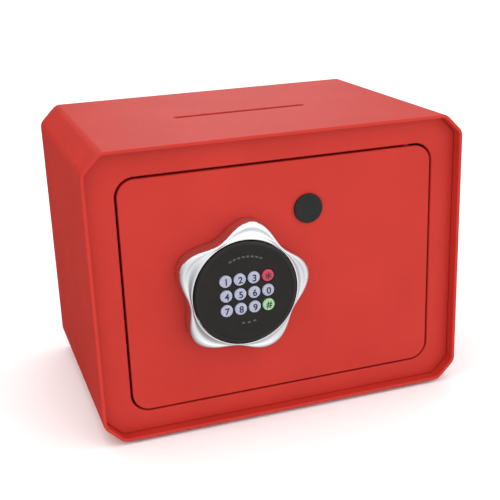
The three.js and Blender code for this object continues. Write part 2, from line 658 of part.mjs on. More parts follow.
function makeLockCover() {
  const { left, right, bottom, top, back, wall } = COVER;
  const midX = (left + right) / 2;
  const midZ = (bottom + top) / 2;
  const width = right - left;
  const height = top - bottom;
  const start = INSIDE + CLEARANCE;
  const box = plate(roundedRectangle(midX, midZ, width, height, 6), start, back - start);
  const roomShape = roundedRectangle(midX, midZ, width - 2 * wall, height - 2 * wall, 4);
  const room = plate(roomShape, start - BITE, back - wall - start + BITE);
  const boltHoles = [-1, 1].map((side) => {
    const z = KNOB_Z + side * BOLT_SPREAD;
    return barX(left - BITE, left + 2 * wall, BOLT_DEPTH, z, BOLT_RADIUS + 0.5, 24);
  });
  const backCut = [back - wall - BITE, back + BITE]; // depths of the tools that cut the back wall
  const lidHole = block(
    [BAY.left - 1, backCut[0], BAY.bottom - 1],
    [BAY.right + 1, backCut[1], BAY.top + 1],
  );
  const resetHole = disc(RESET_X, RESET_Z, 3.3, ...backCut, 16);
  let cover = cut(box, room, ...boltHoles, lidHole, resetHole);
  for (const [side, x] of [["left", left + 9], ["right", right - 7]]) {
    for (const [level, z] of [["bottom", bottom + 7], ["top", top - 7]]) {
      cover = cover.add(disc(x, z, 4, start, back - wall + 0.1, 16));
      cover = cut(cover, disc(x, z, SCREW_RADIUS + 0.4, start - BITE, back + BITE, 12));
      add(`cover_screw_${level}_${side}`, coverScrew(x, z), steel());
    }
  }
  add("lock_cover", cover, darkPlastic());

  const bayX = (BAY.left + BAY.right) / 2;
  const lidEdge = 1 - CLEARANCE;
  const lid = block(
    [BAY.left - lidEdge, back - wall, BAY.bottom - lidEdge],
    [BAY.right + lidEdge, back, BAY.top + lidEdge],
  );
  const thumb = block([bayX - 9, back - 0.8, BAY.top - 6], [bayX + 9, back + BITE, BAY.top - 3]);
  add("battery_lid", cut(lid, thumb), darkPlastic());

  add("control_board", block([-72, BOARD_DEPTH, 92], [2, BOARD_DEPTH + 1.4, 136]), material(0x1f6b3a, 0.6));
  const buttonFoot = BOARD_DEPTH + 2.3;
  const buttonTop = back + 1.3;
  const button = turned(RESET_X, RESET_Z, [
    [0, buttonFoot], [4.2, buttonFoot], [4.2, buttonFoot + 1.3], [3, buttonFoot + 1.3],
    [3, buttonTop - 0.4], [2.6, buttonTop], [0, buttonTop],
  ], 16);
  add("reset_button", button, material(0xc23a30, 0.4));
}

function makeBatteries() {
  const front = 24;
  const wall = 1.4;
  const back = 36;
  const tray = cut(
    block([BAY.left, front, BAY.bottom], [BAY.right, back, BAY.top]),
    block(
      [BAY.left + wall, front + wall, BAY.bottom + wall],
      [BAY.right - wall, back + BITE, BAY.top - wall],
    ),
  );
  add("battery_holder", tray, darkPlastic());

  const radius = 7.05;
  const pitch = 14.6;
  const depth = front + wall + CLEARANCE + radius;
  const low = BAY.bottom + 2.2;
  const high = BAY.top - 2.2;
  const capLength = 1.2;
  const overlap = 0.2;
  for (let i = 0; i < 4; i++) {
    const x = (BAY.left + BAY.right) / 2 + (i - 1.5) * pitch;
    const up = i % 2 === 0;
    const can = barZ(x, depth, up ? low : low + capLength, up ? high - capLength : high, radius);
    const cap = up
      ? barZ(x, depth, high - capLength - overlap, high, 2.7, 12)
      : barZ(x, depth, low, low + capLength + overlap, 2.7, 12);
    add(`battery_${i + 1}`, joined(can, cap), material(0x3c4046, 0.4, 0.5));
  }

  // The lead runs from the holder up to the control board, each point given from the bay's top left.
  const route = [
    [12, 30, 0.4], [11.5, 31, 3], [4, 33, 8], [-4, 33.6, 11], [-9, 33.8, 16], [-10.5, 34.6, 17],
  ].map(([x, depthThere, rise]) => [BAY.left + x, depthThere, BAY.top + rise]);
  add("battery_lead", lead(route, 1, 24), material(0xb02a26, 0.6));
}

makeCase();
makeDoor();
makeKeypad();
makeKnob();
makeBoltWork();
makeSolenoid();
makeOverrideLock();
makeLockCover();
makeBatteries();

export default part;
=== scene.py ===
# %% [markdown]
# # A toy safe coin bank
# The object is a small steel safe: a folded red case, a door that lies flush in its front frame, a knob
# ring shaped like a star that turns round a fixed keypad, and a coin slot in the roof. The CAD model
# already fixes every size and every moving part. This lesson gives each piece its real surface: rounded
# sheet edges, a smooth moulded ring, printed keys, and materials with grain at the right scale.
#
# The box that it fills is kept, and its size is printed.

# %% Load the frame
import json
import math

import bpy
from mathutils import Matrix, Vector


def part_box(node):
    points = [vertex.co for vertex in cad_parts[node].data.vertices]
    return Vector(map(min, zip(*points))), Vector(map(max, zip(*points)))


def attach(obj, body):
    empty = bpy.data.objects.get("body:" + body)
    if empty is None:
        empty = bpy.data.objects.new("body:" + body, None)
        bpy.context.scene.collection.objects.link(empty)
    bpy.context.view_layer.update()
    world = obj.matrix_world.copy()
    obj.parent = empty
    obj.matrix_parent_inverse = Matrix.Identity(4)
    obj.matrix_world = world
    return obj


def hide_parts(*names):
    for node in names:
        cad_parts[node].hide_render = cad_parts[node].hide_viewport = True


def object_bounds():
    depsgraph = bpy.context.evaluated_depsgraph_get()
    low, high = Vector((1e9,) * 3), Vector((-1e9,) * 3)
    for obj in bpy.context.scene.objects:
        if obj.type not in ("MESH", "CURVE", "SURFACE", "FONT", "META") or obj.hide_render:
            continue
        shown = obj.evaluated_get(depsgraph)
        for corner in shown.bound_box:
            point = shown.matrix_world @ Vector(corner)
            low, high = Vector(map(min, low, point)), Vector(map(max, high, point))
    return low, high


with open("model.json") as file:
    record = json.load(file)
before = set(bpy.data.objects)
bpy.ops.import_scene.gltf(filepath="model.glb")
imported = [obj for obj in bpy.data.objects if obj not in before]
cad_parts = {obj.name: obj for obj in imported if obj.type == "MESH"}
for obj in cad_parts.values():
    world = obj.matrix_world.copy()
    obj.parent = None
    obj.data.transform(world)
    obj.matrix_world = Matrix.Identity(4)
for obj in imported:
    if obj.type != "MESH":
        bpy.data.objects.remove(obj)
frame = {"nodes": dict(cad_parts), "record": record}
cad_low, cad_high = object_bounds()
record = frame["record"]
MM = 0.001
print("CAD box, mm:", [round(side / MM, 1) for side in cad_high - cad_low])

# %% [markdown]
# ## Who moves with what
# Each CAD node belongs to one moving body and to one material slot of the record. A new piece that stands
# for a node moves with the node's body, so one small helper looks the body up and hides the node. Some
# pieces take their finish from the node's slot. That is safer than writing the body's name by hand for sixty
# pieces.
# A second helper gives the box of a node, because most pieces are placed by the middle and the ends of their
# node.

# %% Bodies and slots of the nodes
BODY_OF = {node: body for body, nodes in record["behaviour"]["bodies"].items() for node in nodes}
SLOT_OF = {row["node"]: row["material_slot"] for row in record["subparts"]}


def stand_for(piece, node):
    """The piece replaces a CAD node: it moves with the same body, and the node is hidden."""
    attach(piece, BODY_OF[node])
    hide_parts(node)
    return piece


def box_of(node):
    """The low corner, the high corner and the middle of a CAD node's box."""
    low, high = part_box(node)
    return low, high, (low + high) / 2


# %% [markdown]
# ## Camera
# The safe is seen from its left, a little above, through a lens of medium length: the far edges shrink by
# about a quarter, which a long lens wouldn't show. The camera's place is given from the middle of the
# case's front lip, so that it follows the case.

# %% Camera
case_low, case_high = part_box("case_shell")
LIP_MIDDLE = Vector((0, case_low.y, case_low.z))
CAMERA_FROM_LIP = Vector((-182.25, -479.25, 280.14)) * MM
CAMERA_TURN_DEG = (70.89, 2.04, -19.24)
LENS_MM = 68.6
NEAREST_SEEN = 50 * MM

camera_data = bpy.data.cameras.new("camera")
camera_data.lens = LENS_MM
camera_data.clip_start = NEAREST_SEEN
camera = bpy.data.objects.new("camera", camera_data)
camera.location = LIP_MIDDLE + CAMERA_FROM_LIP
camera.rotation_euler = [math.radians(angle) for angle in CAMERA_TURN_DEG]
bpy.context.scene.collection.objects.link(camera)
bpy.context.scene.camera = camera
print("camera at", [round(value, 3) for value in camera.location])

# %% [markdown]
# ## Helpers for modelling
# Every operator in Blender works on what is selected, so each helper clears the selection first. A
# primitive is added at its size and place, and its transform is applied at once. The finished object then
# sits at the origin with its place in its mesh, as the CAD nodes do, and patterns in object coordinates
# stay put.

# %% Selecting and starting shapes
def choose(*objects):
    """Selects only these objects, and makes the first one active."""
    bpy.ops.object.select_all(action="DESELECT")
    for each in objects:
        each.select_set(True)
    bpy.context.view_layer.objects.active = objects[0]


def settle(name):
    """Names the object that was just added and puts its place into its mesh."""
    piece = bpy.context.object
    piece.name = name
    bpy.ops.object.transform_apply(location=True, rotation=True, scale=True)
    return piece


def add_block(name, low, high):
    """A box between two corners."""
    low, high = Vector(low), Vector(high)
    bpy.ops.object.select_all(action="DESELECT")
    bpy.ops.mesh.primitive_cube_add(size=1, location=(low + high) / 2, scale=high - low)
    return settle(name)


def add_rod(name, start, end, radius, sides=96):
    """A cylinder from one point to another."""
    start, end = Vector(start), Vector(end)
    along = end - start
    bpy.ops.object.select_all(action="DESELECT")
    bpy.ops.mesh.primitive_cylinder_add(
        vertices=sides, radius=radius, depth=along.length, location=(start + end) / 2,
        rotation=along.to_track_quat("Z", "Y").to_euler(),
    )
    return settle(name)


def copy_of(piece, name, shift=(0, 0, 0)):
    """A copy with its own mesh, moved by a shift."""
    twin = piece.copy()
    twin.data = piece.data.copy()
    twin.name = name
    bpy.context.scene.collection.objects.link(twin)
    choose(twin)
    bpy.ops.transform.translate(value=shift)
    bpy.ops.object.transform_apply(location=True, rotation=True, scale=True)
    return twin


# %% [markdown]
# Many pieces are round: keys, screws, bolts and feet. On a lathe they would be turned, and in edit mode
# the same thing is a disc that is extruded along its axis and scaled at each step, so that it sweeps out
# the profile. The scaling leaves out the axis itself.

# %% Turned pieces
def add_turned(name, foot, axis, profile, sides=64):
    """A disc at the foot is pulled along the axis through each (distance, radius), in millimetres."""
    foot, axis = Vector(foot), Vector(axis)
    distance, radius = profile[0]
    bpy.ops.object.select_all(action="DESELECT")
    bpy.ops.mesh.primitive_circle_add(
        vertices=sides, radius=radius * MM, fill_type="NGON", location=foot + axis * distance * MM,
        rotation=axis.to_track_quat("Z", "Y").to_euler(),
    )
    piece = settle(name)
    bpy.ops.object.mode_set(mode="EDIT")
    bpy.ops.mesh.select_all(action="SELECT")
    for next_distance, next_radius in profile[1:]:
        step = axis * (next_distance - distance) * MM
        bpy.ops.mesh.extrude_region_move(TRANSFORM_OT_translate={"value": step})
        spread = [1 if abs(part) > 0.5 else next_radius / radius for part in axis]
        bpy.ops.transform.resize(value=spread, center_override=foot + axis * next_distance * MM)
        distance, radius = next_distance, next_radius
    bpy.ops.mesh.select_all(action="SELECT")
    bpy.ops.mesh.normals_make_consistent(inside=False)
    bpy.ops.object.mode_set(mode="OBJECT")
    return piece


def rounded_end(distance, radius, along, across, steps=6):
    """Profile points that round off an end: a quarter of an ellipse from the side to the face."""
    turns = [math.pi / 2 * step / steps for step in range(steps + 1)]
    return [(distance - along * (1 - math.sin(a)), radius - across * (1 - math.cos(a))) for a in turns]


# %% [markdown]
# Edges and faces are picked in code by a test of where they are, because there is nobody to click on
# them.

# %% Picking edges and faces
STRAIGHT = 0.999


def runs(axis):
    """A test for edges that run straight along X, Y or Z."""
    return lambda first, second: abs((second - first).normalized()["XYZ".index(axis)]) > STRAIGHT


def round_corners(piece, radius, segments, wanted=runs("Y")):
    """Bevels the chosen edges in edit mode. One segment makes a chamfer."""
    choose(piece)
    mesh = piece.data
    bpy.ops.object.mode_set(mode="EDIT")
    bpy.ops.mesh.select_mode(type="EDGE")
    bpy.ops.mesh.select_all(action="DESELECT")
    bpy.ops.object.mode_set(mode="OBJECT")
    for edge in mesh.edges:
        edge.select = wanted(*(mesh.vertices[i].co for i in edge.vertices))
    bpy.ops.object.mode_set(mode="EDIT")
    bpy.ops.mesh.bevel(offset=radius, segments=segments, affect="EDGES", profile=0.5)
    bpy.ops.object.mode_set(mode="OBJECT")
    return piece


def pick_faces(piece, wanted):
    """Enters edit mode with the faces selected that pass a test of their centre and normal."""
    choose(piece)
    bpy.ops.object.mode_set(mode="EDIT")
    bpy.ops.mesh.select_mode(type="FACE")
    bpy.ops.mesh.select_all(action="DESELECT")
    bpy.ops.object.mode_set(mode="OBJECT")
    for face in piece.data.polygons:
        face.select = wanted(face.center, face.normal)
    bpy.ops.object.mode_set(mode="EDIT")


# %% [markdown]
# ## Helpers for finishing
# Sheet metal and moulded plastic never have knife edges: light catches a thin rounded line along every
# edge. A Bevel modifier that works only above an angle rounds those edges and leaves the fine facets of a
# bend alone. A Weighted Normal modifier then keeps the big flat faces flat to the light. Cutting one
# solid from another is a Boolean modifier. All are applied, so that the mesh is final.

# %% Finishing helpers
def modify(piece, kind, **settings):
    """Adds one modifier with its settings and applies it."""
    choose(piece)
    bpy.ops.object.modifier_add(type=kind)
    modifier = piece.modifiers[-1]
    for name, value in settings.items():
        setattr(modifier, name, value)
    bpy.ops.object.modifier_apply(modifier=modifier.name)


def carve(piece, *tools, operation="DIFFERENCE"):
    """Cuts the tools away from the piece, or joins them to it, and removes the tools."""
    for tool in tools:
        modify(piece, "BOOLEAN", object=tool, operation=operation, solver="EXACT")
        bpy.data.objects.remove(tool)
    return piece


def smooth(piece, angle=32):
    """Shades the piece smoothly, with creases at edges sharper than the angle."""
    choose(piece)
    bpy.ops.object.shade_smooth_by_angle(angle=math.radians(angle))
    modify(piece, "WEIGHTED_NORMAL", keep_sharp=True)
    return piece


def round_edges(piece, radius, segments=3, angle=50):
    """Rounds the edges that are sharper than the angle, and shades the piece smoothly."""
    modify(
        piece, "BEVEL", width=radius, segments=segments, limit_method="ANGLE",
        angle_limit=math.radians(angle), miter_outer="MITER_ARC",
    )
    return smooth(piece)


# %% [markdown]
# ## Colour and node helpers
# Colours are written as the hex values that a paint chart gives, and one function turns them to linear
# light. One more function adds a shader node with its settings and its links, and every material is built
# from it.

# %% Colour and node helpers
def from_hex(code):
    """Turns an sRGB hex colour into linear RGBA."""
    channels = [int(code[i:i + 2], 16) / 255 for i in (1, 3, 5)]
    linear = [c / 12.92 if c <= 0.04045 else ((c + 0.055) / 1.055) ** 2.4 for c in channels]
    return (*linear, 1.0)


def add_node(tree, kind, inputs=None, **settings):
    """Adds one node. Inputs that are sockets are linked, and others are set as values."""
    made = tree.nodes.new(kind)
    for name, value in settings.items():
        setattr(made, name, value)
    for key, value in (inputs or {}).items():
        if isinstance(value, bpy.types.NodeSocket):
            tree.links.new(value, made.inputs[key])
        else:
            made.inputs[key].default_value = value
    return made


def start_material(name, sockets=None):
    """A material with its Principled shader, and object coordinates to build patterns on."""
    material = bpy.data.materials.new(name)
    material.use_nodes = True
    tree = material.node_tree
    shader = tree.nodes["Principled BSDF"]
    for key, value in (sockets or {}).items():
        shader.inputs[key].default_value = value
    place = add_node(tree, "ShaderNodeTexCoord").outputs["Object"]
    return material, tree, shader, place


def speckle(tree, place, size, detail=2.0, stretch=(1, 1, 1)):
    """Noise whose lumps are this many millimetres across, times the stretch along each axis."""
    scale = [1 / (size * MM * part) for part in stretch]
    fitted = add_node(tree, "ShaderNodeMapping", {"Vector": place, "Scale": scale})
    inputs = {"Vector": fitted.outputs[0], "Scale": 1.0, "Detail": detail}
    return add_node(tree, "ShaderNodeTexNoise", inputs).outputs["Fac"]


def between(tree, factor, low, high, start=0.3, end=0.7):
    """Maps the middle of a pattern's range onto a range of values."""
    inputs = {"Value": factor, "From Min": start, "From Max": end, "To Min": low, "To Max": high}
    return add_node(tree, "ShaderNodeMapRange", inputs).outputs["Result"]


def blend_colors(tree, factor, first, second):
    """Mixes two colours, as hex values or sockets, by a pattern."""
    first, second = (from_hex(each) if isinstance(each, str) else each for each in (first, second))
    return add_node(tree, "ShaderNodeMix", {0: factor, 6: first, 7: second}, data_type="RGBA").outputs[2]


def add_up(tree, first, second, share):
    """One height pattern plus a share of another."""
    inputs = {0: second, 1: share, 2: first}
    return add_node(tree, "ShaderNodeMath", inputs, operation="MULTIPLY_ADD").outputs[0]


def finish_with(tree, shader, color=None, roughness=None, height=None, depth_mm=0.0):
    """Links the patterns to the shader: colour, roughness, and a bump of this depth."""
    if color is not None:
        tree.links.new(color, shader.inputs["Base Color"])
    if roughness is not None:
        tree.links.new(roughness, shader.inputs["Roughness"])
    if height is not None:
        inputs = {"Height": height, "Distance": depth_mm * MM, "Strength": 1.0}
        bump = add_node(tree, "ShaderNodeBump", inputs)
        tree.links.new(bump.outputs["Normal"], shader.inputs["Normal"])


def coat_with(piece, *materials):
    """Gives a piece its materials, in the order of its faces' slots."""
    piece.data.materials.clear()
    for material in materials:
        piece.data.materials.append(material)
    return piece


# %% [markdown]
# ## Red powder coat
# The case, the frame and the door are steel under a satin powder coat. Powder melts into a skin with a
# faint orange peel: soft lumps about a millimetre and a half across and a few microns deep, with finer
# grains in between. The eye sees them only where light grazes the sheet. The colour shifts very slightly
# from place to place, and the gloss does too, so that large flat panels don't look painted by a computer.

# %% Powder coat
def powder_coat():
    material, tree, shader, place = start_material("satin_red_powder_coat", {"Specular IOR Level": 0.16})
    drift = speckle(tree, place, 45, detail=3)
    peel = speckle(tree, place, 1.6, detail=1)
    grain = speckle(tree, place, 0.35)
    finish_with(
        tree, shader, color=blend_colors(tree, between(tree, drift, 0, 1), "#BC3229", "#B42E25"),
        roughness=between(tree, grain, 0.38, 0.5), height=add_up(tree, peel, grain, 0.25), depth_mm=0.02,
    )
    return material


red_coat = powder_coat()
print("made", red_coat.name)

# %% [markdown]
# ## Satin-plated ABS
# The star ring is moulded in ABS and plated with satin chrome. It mirrors its surroundings softly: the
# plating follows the mould's fine blasted texture. The real grain is finer than a tenth of a millimetre,
# so it is drawn a few times coarser. Handling leaves the ring slightly smoother in patches.

# %% Satin plating
def satin_plating():
    material, tree, shader, place = start_material("satin_plated_abs", {"Metallic": 1.0})
    patches = speckle(tree, place, 14, detail=3)
    blasted = speckle(tree, place, 0.3)
    finish_with(
        tree, shader, color=blend_colors(tree, between(tree, patches, 0, 1), "#E3E4E6", "#D6D8DB"),
        roughness=between(tree, add_up(tree, patches, blasted, 0.3), 0.22, 0.34, 0.4, 0.9),
        height=blasted, depth_mm=0.004,
    )
    return material


satin_silver = satin_plating()
print("made", satin_silver.name)

# %% [markdown]
# ## Moulded black ABS
# The keypad's body, the lock cover and the plug are one plastic from different moulds. A polished mould
# gives a gloss rim, and an etched one gives a matt grain like leather, about half a millimetre across.
# One function makes all of them, with the grain's size and depth and the range of roughness as its
# settings. A smoked grey is the same plastic with less black in it.

# %% Black ABS
def black_abs(name, color, worn_color, rough_low, rough_high, grain_mm, depth_mm):
    material, tree, shader, place = start_material(name, {"Specular IOR Level": 0.2})
    clouds = speckle(tree, place, 9, detail=3)
    inputs = {"Vector": place, "Scale": 1 / (grain_mm * MM)}
    cells = add_node(tree, "ShaderNodeTexVoronoi", inputs).outputs["Distance"]
    dust = speckle(tree, place, 0.6)
    finish_with(
        tree, shader, color=blend_colors(tree, between(tree, clouds, 0, 1), color, worn_color),
        roughness=between(tree, dust, rough_low, rough_high), height=cells, depth_mm=depth_mm,
    )
    return material


overlay_abs = black_abs("matt_keypad_overlay", "#1A1716", "#1F1B1A", 0.5, 0.62, 0.35, 0.012)
rim_abs = black_abs("polished_black_abs", "#1B1819", "#201D1E", 0.16, 0.26, 2.5, 0.002)
plug_abs = black_abs("satin_black_abs", "#191C1B", "#1F201F", 0.38, 0.5, 0.4, 0.01)
cover_abs = black_abs("grained_black_abs", "#2A2A2C", "#323234", 0.46, 0.6, 0.55, 0.035)
smoked_abs = black_abs("smoked_grey_abs", "#4A4746", "#565352", 0.2, 0.32, 1.5, 0.002)
for each in (overlay_abs, rim_abs, plug_abs, cover_abs, smoked_abs):
    print("made", each.name)

# %% [markdown]
# ## Silicone keys and their ink
# The keys are moulded silicone: a little light enters them, so their edges look soft, and the surface has
# a faint matt bloom. The digits are pad-printed ink, thin and slightly uneven, so the ink is a touch
# rougher in patches.

# %% Silicone and ink
def silicone(name, color, pale_color):
    light_inside = {"Subsurface Weight": 0.15, "Subsurface Scale": 1.5 * MM}
    material, tree, shader, place = start_material(name, light_inside)
    bloom = speckle(tree, place, 1.2, detail=3)
    pores = speckle(tree, place, 0.15)
    finish_with(
        tree, shader, color=blend_colors(tree, between(tree, bloom, 0, 1), color, pale_color),
        roughness=between(tree, pores, 0.3, 0.42), height=pores, depth_mm=0.004,
    )
    return material


def printed_ink():
    material, tree, shader, place = start_material("pad_printed_ink")
    blots = speckle(tree, place, 0.25, detail=3)
    finish_with(
        tree, shader, color=blend_colors(tree, between(tree, blots, 0, 1), "#0F1424", "#1A2032"),
        roughness=between(tree, blots, 0.45, 0.65), height=blots, depth_mm=0.003,
    )
    return material


KEY_FINISH = {
    "grey_key": silicone("grey_silicone", "#999CB1", "#A8AABE"),
    "red_key": silicone("red_silicone", "#B02C3E", "#BA384A"),
    "green_key": silicone("green_silicone", "#8EB886", "#9CC294"),
}
ink = printed_ink()
print("made", len(KEY_FINISH), "silicones and", ink.name)

# %% [markdown]
# ## Metals of the lock
# Bolts, pins and screws are steel with bright zinc plating: fine drawn lines, a blotchy spangle a few
# millimetres wide, and hardly any colour. The lock's core is turned brass, with rings from the lathe
# tool.

# %% Zinc-plated steel and brass
def plated_metal(name, color, cloudy_color, rough_low, rough_high, stretch):
    material, tree, shader, place = start_material(name, {"Metallic": 1.0})
    spangle = speckle(tree, place, 4, detail=4)
    drawn = speckle(tree, place, 0.12, detail=3, stretch=stretch)
    finish_with(
        tree, shader, color=blend_colors(tree, between(tree, spangle, 0, 1), color, cloudy_color),
        roughness=between(tree, drawn, rough_low, rough_high), height=drawn, depth_mm=0.006,
    )
    return material


zinc_steel = plated_metal("zinc_plated_steel", "#C3C6C9", "#AEB2B6", 0.24, 0.4, (12, 1, 1))
brass = plated_metal("turned_brass", "#C9A35A", "#B8924A", 0.2, 0.34, (1, 0.5, 1))
print("made", zinc_steel.name, "and", brass.name)

# %% [markdown]
# ## Rubber, felt and nylon
# The feet are moulded rubber, dull and slightly dusty. The store's floor is lined with felt: short wool
# fibres that lie every way, so two stretched noises cross, with a sheen at grazing angles. The bush is
# natural nylon, which lets a little light in.

# %% Rubber, felt and nylon
def soft_material(name, color, other_color, fibre_mm, depth_mm, rough_low, rough_high, sockets=None):
    material, tree, shader, place = start_material(name, sockets)
    lengthwise = speckle(tree, place, fibre_mm, detail=3, stretch=(5, 1, 1))
    crosswise = speckle(tree, place, fibre_mm, detail=3, stretch=(1, 5, 1))
    tangle = add_up(tree, lengthwise, crosswise, 1.0)
    finish_with(
        tree, shader, color=blend_colors(tree, between(tree, tangle, 0, 1, 0.7, 1.3), color, other_color),
        roughness=between(tree, crosswise, rough_low, rough_high), height=tangle, depth_mm=depth_mm,
    )
    return material


rubber = soft_material("moulded_rubber", "#202020", "#2C2B2A", 0.5, 0.02, 0.7, 0.85)
FUZZ = {"Sheen Weight": 0.5, "Sheen Roughness": 0.6}
felt = soft_material("wool_felt", "#2B2C30", "#484A50", 0.3, 0.25, 0.88, 1.0, FUZZ)
MILKY = {"Subsurface Weight": 0.1}
nylon = soft_material("natural_nylon", "#E4E0D2", "#D8D3C3", 0.8, 0.01, 0.4, 0.55, MILKY)
print("made", rubber.name, felt.name, nylon.name)

# %% [markdown]
# ## Electrical finishes
# Under the cover sit two green boards, whose copper tracks show as paler lines through the lacquer, a
# coil wound from enamelled wire, batteries in a printed sleeve, and grey insulated leads. A wave texture
# at scale 1 repeats its bands every 0.314 metres, so the scale follows from the pitch that is wanted.

# %% Boards, winding, sleeve and leads
WAVE_PERIOD = 0.314


def circuit_board():
    lacquer = {"Coat Weight": 0.4, "Coat Roughness": 0.2}
    material, tree, shader, place = start_material("lacquered_board", lacquer)
    upright = {"Vector": place, "Rotation": (math.pi / 2, 0, 0)}
    fitted = add_node(tree, "ShaderNodeMapping", upright).outputs[0]
    tracks = add_node(tree, "ShaderNodeTexBrick", {
        "Vector": fitted, "Scale": 1 / (4 * MM), "Mortar Size": 0.06, "Brick Width": 1.3, "Row Height": 0.5,
    }).outputs["Fac"]
    finish_with(
        tree, shader, color=blend_colors(tree, tracks, "#14592F", "#2C7F45"),
        roughness=between(tree, speckle(tree, place, 2), 0.3, 0.45), height=tracks, depth_mm=0.03,
    )
    return material


def banded(name, color, band_color, pitch_mm, depth_mm, metallic, rough):
    """Rings round a standing piece, such as the turns of a winding."""
    material, tree, shader, place = start_material(name, {"Metallic": metallic})
    inputs = {"Vector": place, "Scale": WAVE_PERIOD / (pitch_mm * MM), "Distortion": 0.2}
    rings = add_node(tree, "ShaderNodeTexWave", inputs, bands_direction="Z").outputs["Fac"]
    patina = speckle(tree, place, 3, detail=3)
    finish_with(
        tree, shader, color=blend_colors(tree, add_up(tree, rings, patina, 0.4), color, band_color),
        roughness=between(tree, patina, rough, rough + 0.15), height=rings, depth_mm=depth_mm,
    )
    return material


board = circuit_board()
winding = banded("enamelled_copper_winding", "#6B2F16", "#C4703B", 0.5, 0.15, 0.7, 0.28)
sleeve = banded("printed_battery_sleeve", "#2B3036", "#39404A", 9.0, 0.0, 0.3, 0.25)
lead_sleeve = banded("insulated_lead", "#8C8C90", "#9A9A9E", 1.5, 0.02, 0.0, 0.5)
print("made", board.name, winding.name, sleeve.name, lead_sleeve.name)

# %% [markdown]
# ## Case
# The case is one steel sheet folded round into a tunnel, with its four long corners cut off at 45
# degrees. In Blender it starts as a block: the four long edges get a one-segment bevel, the eight new
# edges get the small bend radius, the two ends are deleted, and Solidify gives the sheet its thickness
# inwards. The coin slot is cut through the roof, and every cut edge is rounded, because paint draws back
# from sharp edges. The slot's ends are a hair less than full half circles, because two bevels can't share
# an edge.

# %% Case shell
SHEET = 2 * MM
CORNER_LEG = 11 * MM
BEND_SETBACK = 2.49 * MM
SLOT_SIZE = Vector((84, 4.6)) * MM
SLOT_X, SLOT_FROM_LIP = -1 * MM, 70.5 * MM
HAIR = 0.02 * MM
CASE_EDGE = 0.75 * MM

shell = add_block("case_sheet", case_low, case_high)
round_corners(shell, CORNER_LEG, 1)
round_corners(shell, BEND_SETBACK, 5)
pick_faces(shell, lambda centre, normal: abs(normal.y) > 0.9)
bpy.ops.mesh.delete(type="FACE")
bpy.ops.object.mode_set(mode="OBJECT")
modify(shell, "SOLIDIFY", thickness=SHEET, offset=-1, use_even_offset=True)

slot_middle = Vector((SLOT_X, case_low.y + SLOT_FROM_LIP, case_high.z))
slot_reach = Vector((SLOT_SIZE.x / 2, SLOT_SIZE.y / 2, 3 * SHEET))
slot_tool = add_block("slot_tool", slot_middle - slot_reach, slot_middle + slot_reach)
round_corners(slot_tool, SLOT_SIZE.y / 2 - HAIR, 10, runs("Z"))
carve(shell, slot_tool)
round_edges(shell, CASE_EDGE, segments=4)
coat_with(stand_for(shell, "case_shell"), red_coat)
print("case sheet:", len(shell.data.polygons), "faces")

# %% [markdown]
# ## Front frame and door
# The frame is a plate set back behind the lip, with a doorway whose edge is turned back into a short
# flange. The door is a shallow pressed pan that fills the doorway, with a gap of little more than a
# millimetre. Both share one outline, a rectangle with rounded corners, so one helper makes every block of
# that outline, larger or smaller. The edge round the doorway is well rounded, and the frame's outer edge
# is nearly sharp, because it butts on the case.

# %% Front frame
DOOR_GAP = 1.3 * MM
DOOR_CORNER = 10 * MM
PANEL_LEG, PANEL_BEND = 9.65 * MM, 1.53 * MM
DOORWAY_EDGE, FRAME_EDGE = 1.0 * MM, 0.2 * MM
HINGE_HOLE_RADIUS = 2.3 * MM
door_low, door_high, door_middle = box_of("door_panel")
frame_low, frame_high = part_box("front_frame")
hinge = next(joint for joint in record["behaviour"]["joints"] if joint["name"] == "door_swing")
hinge_x, hinge_y, _ = hinge["pos_m"]


def door_block(name, grow, front, back):
    """A block with the door's outline, grown on all sides, between two depths."""
    low = Vector((door_low.x - grow, front, door_low.z - grow))
    high = Vector((door_high.x + grow, back, door_high.z + grow))
    return round_corners(add_block(name, low, high), DOOR_CORNER + grow, 16)


def hinge_hole():
    """A rod through both hinge pins' holes."""
    low, high = Vector((hinge_x, hinge_y, case_low.z)), Vector((hinge_x, hinge_y, case_high.z))
    return add_rod("hole_tool", low, high, HINGE_HOLE_RADIUS, sides=48)


def at_doorway(first, second):
    """A test for the edges between the frame's face and its doorway, which no other edges come near."""
    reach = (door_high - door_low) / 2 + Vector((DOOR_GAP + HAIR, 0, DOOR_GAP + HAIR))
    offsets = [end - door_middle for end in (first, second)]
    inside = all(abs(offset.x) < reach.x and abs(offset.z) < reach.z for offset in offsets)
    return inside and max(first.y, second.y) < frame_low.y + HAIR


surround = add_block("front_surround", frame_low, (frame_high.x, frame_low.y + SHEET, frame_high.z))
round_corners(surround, PANEL_LEG, 1)
round_corners(surround, PANEL_BEND, 4)
flange = door_block("flange", DOOR_GAP + SHEET, frame_low.y + SHEET / 2, frame_high.y)
carve(surround, flange, operation="UNION")
doorway = door_block("doorway", DOOR_GAP, frame_low.y - SHEET, frame_high.y + SHEET)
carve(surround, doorway, hinge_hole())
round_corners(surround, DOORWAY_EDGE, 4, at_doorway)
round_edges(surround, FRAME_EDGE)
coat_with(stand_for(surround, "front_frame"), red_coat)
print("doorway:", [round(side / MM, 1) for side in (door_high - door_low).xz], "mm plus the gap")

# %% Door and back panel
DOOR_EDGE, BACK_EDGE = 1.1 * MM, 0.4 * MM
SPINDLE_HOLE_RADIUS, LOCK_HOLE_RADIUS = 11 * MM, 8.4 * MM
ANCHOR_X, ANCHOR_RADIUS = 60 * MM, 4 * MM
pad_low, pad_high, (knob_x, _, knob_z) = box_of("keypad_housing")
plug_low, plug_high, (plug_x, _, plug_z) = box_of("plug_cover")


def through_door(x, z, radius):
    """A rod from front to back through the door's sheet."""
    return add_rod("hole_tool", (x, door_low.y - SHEET, z), (x, door_low.y + 2 * SHEET, z), radius)


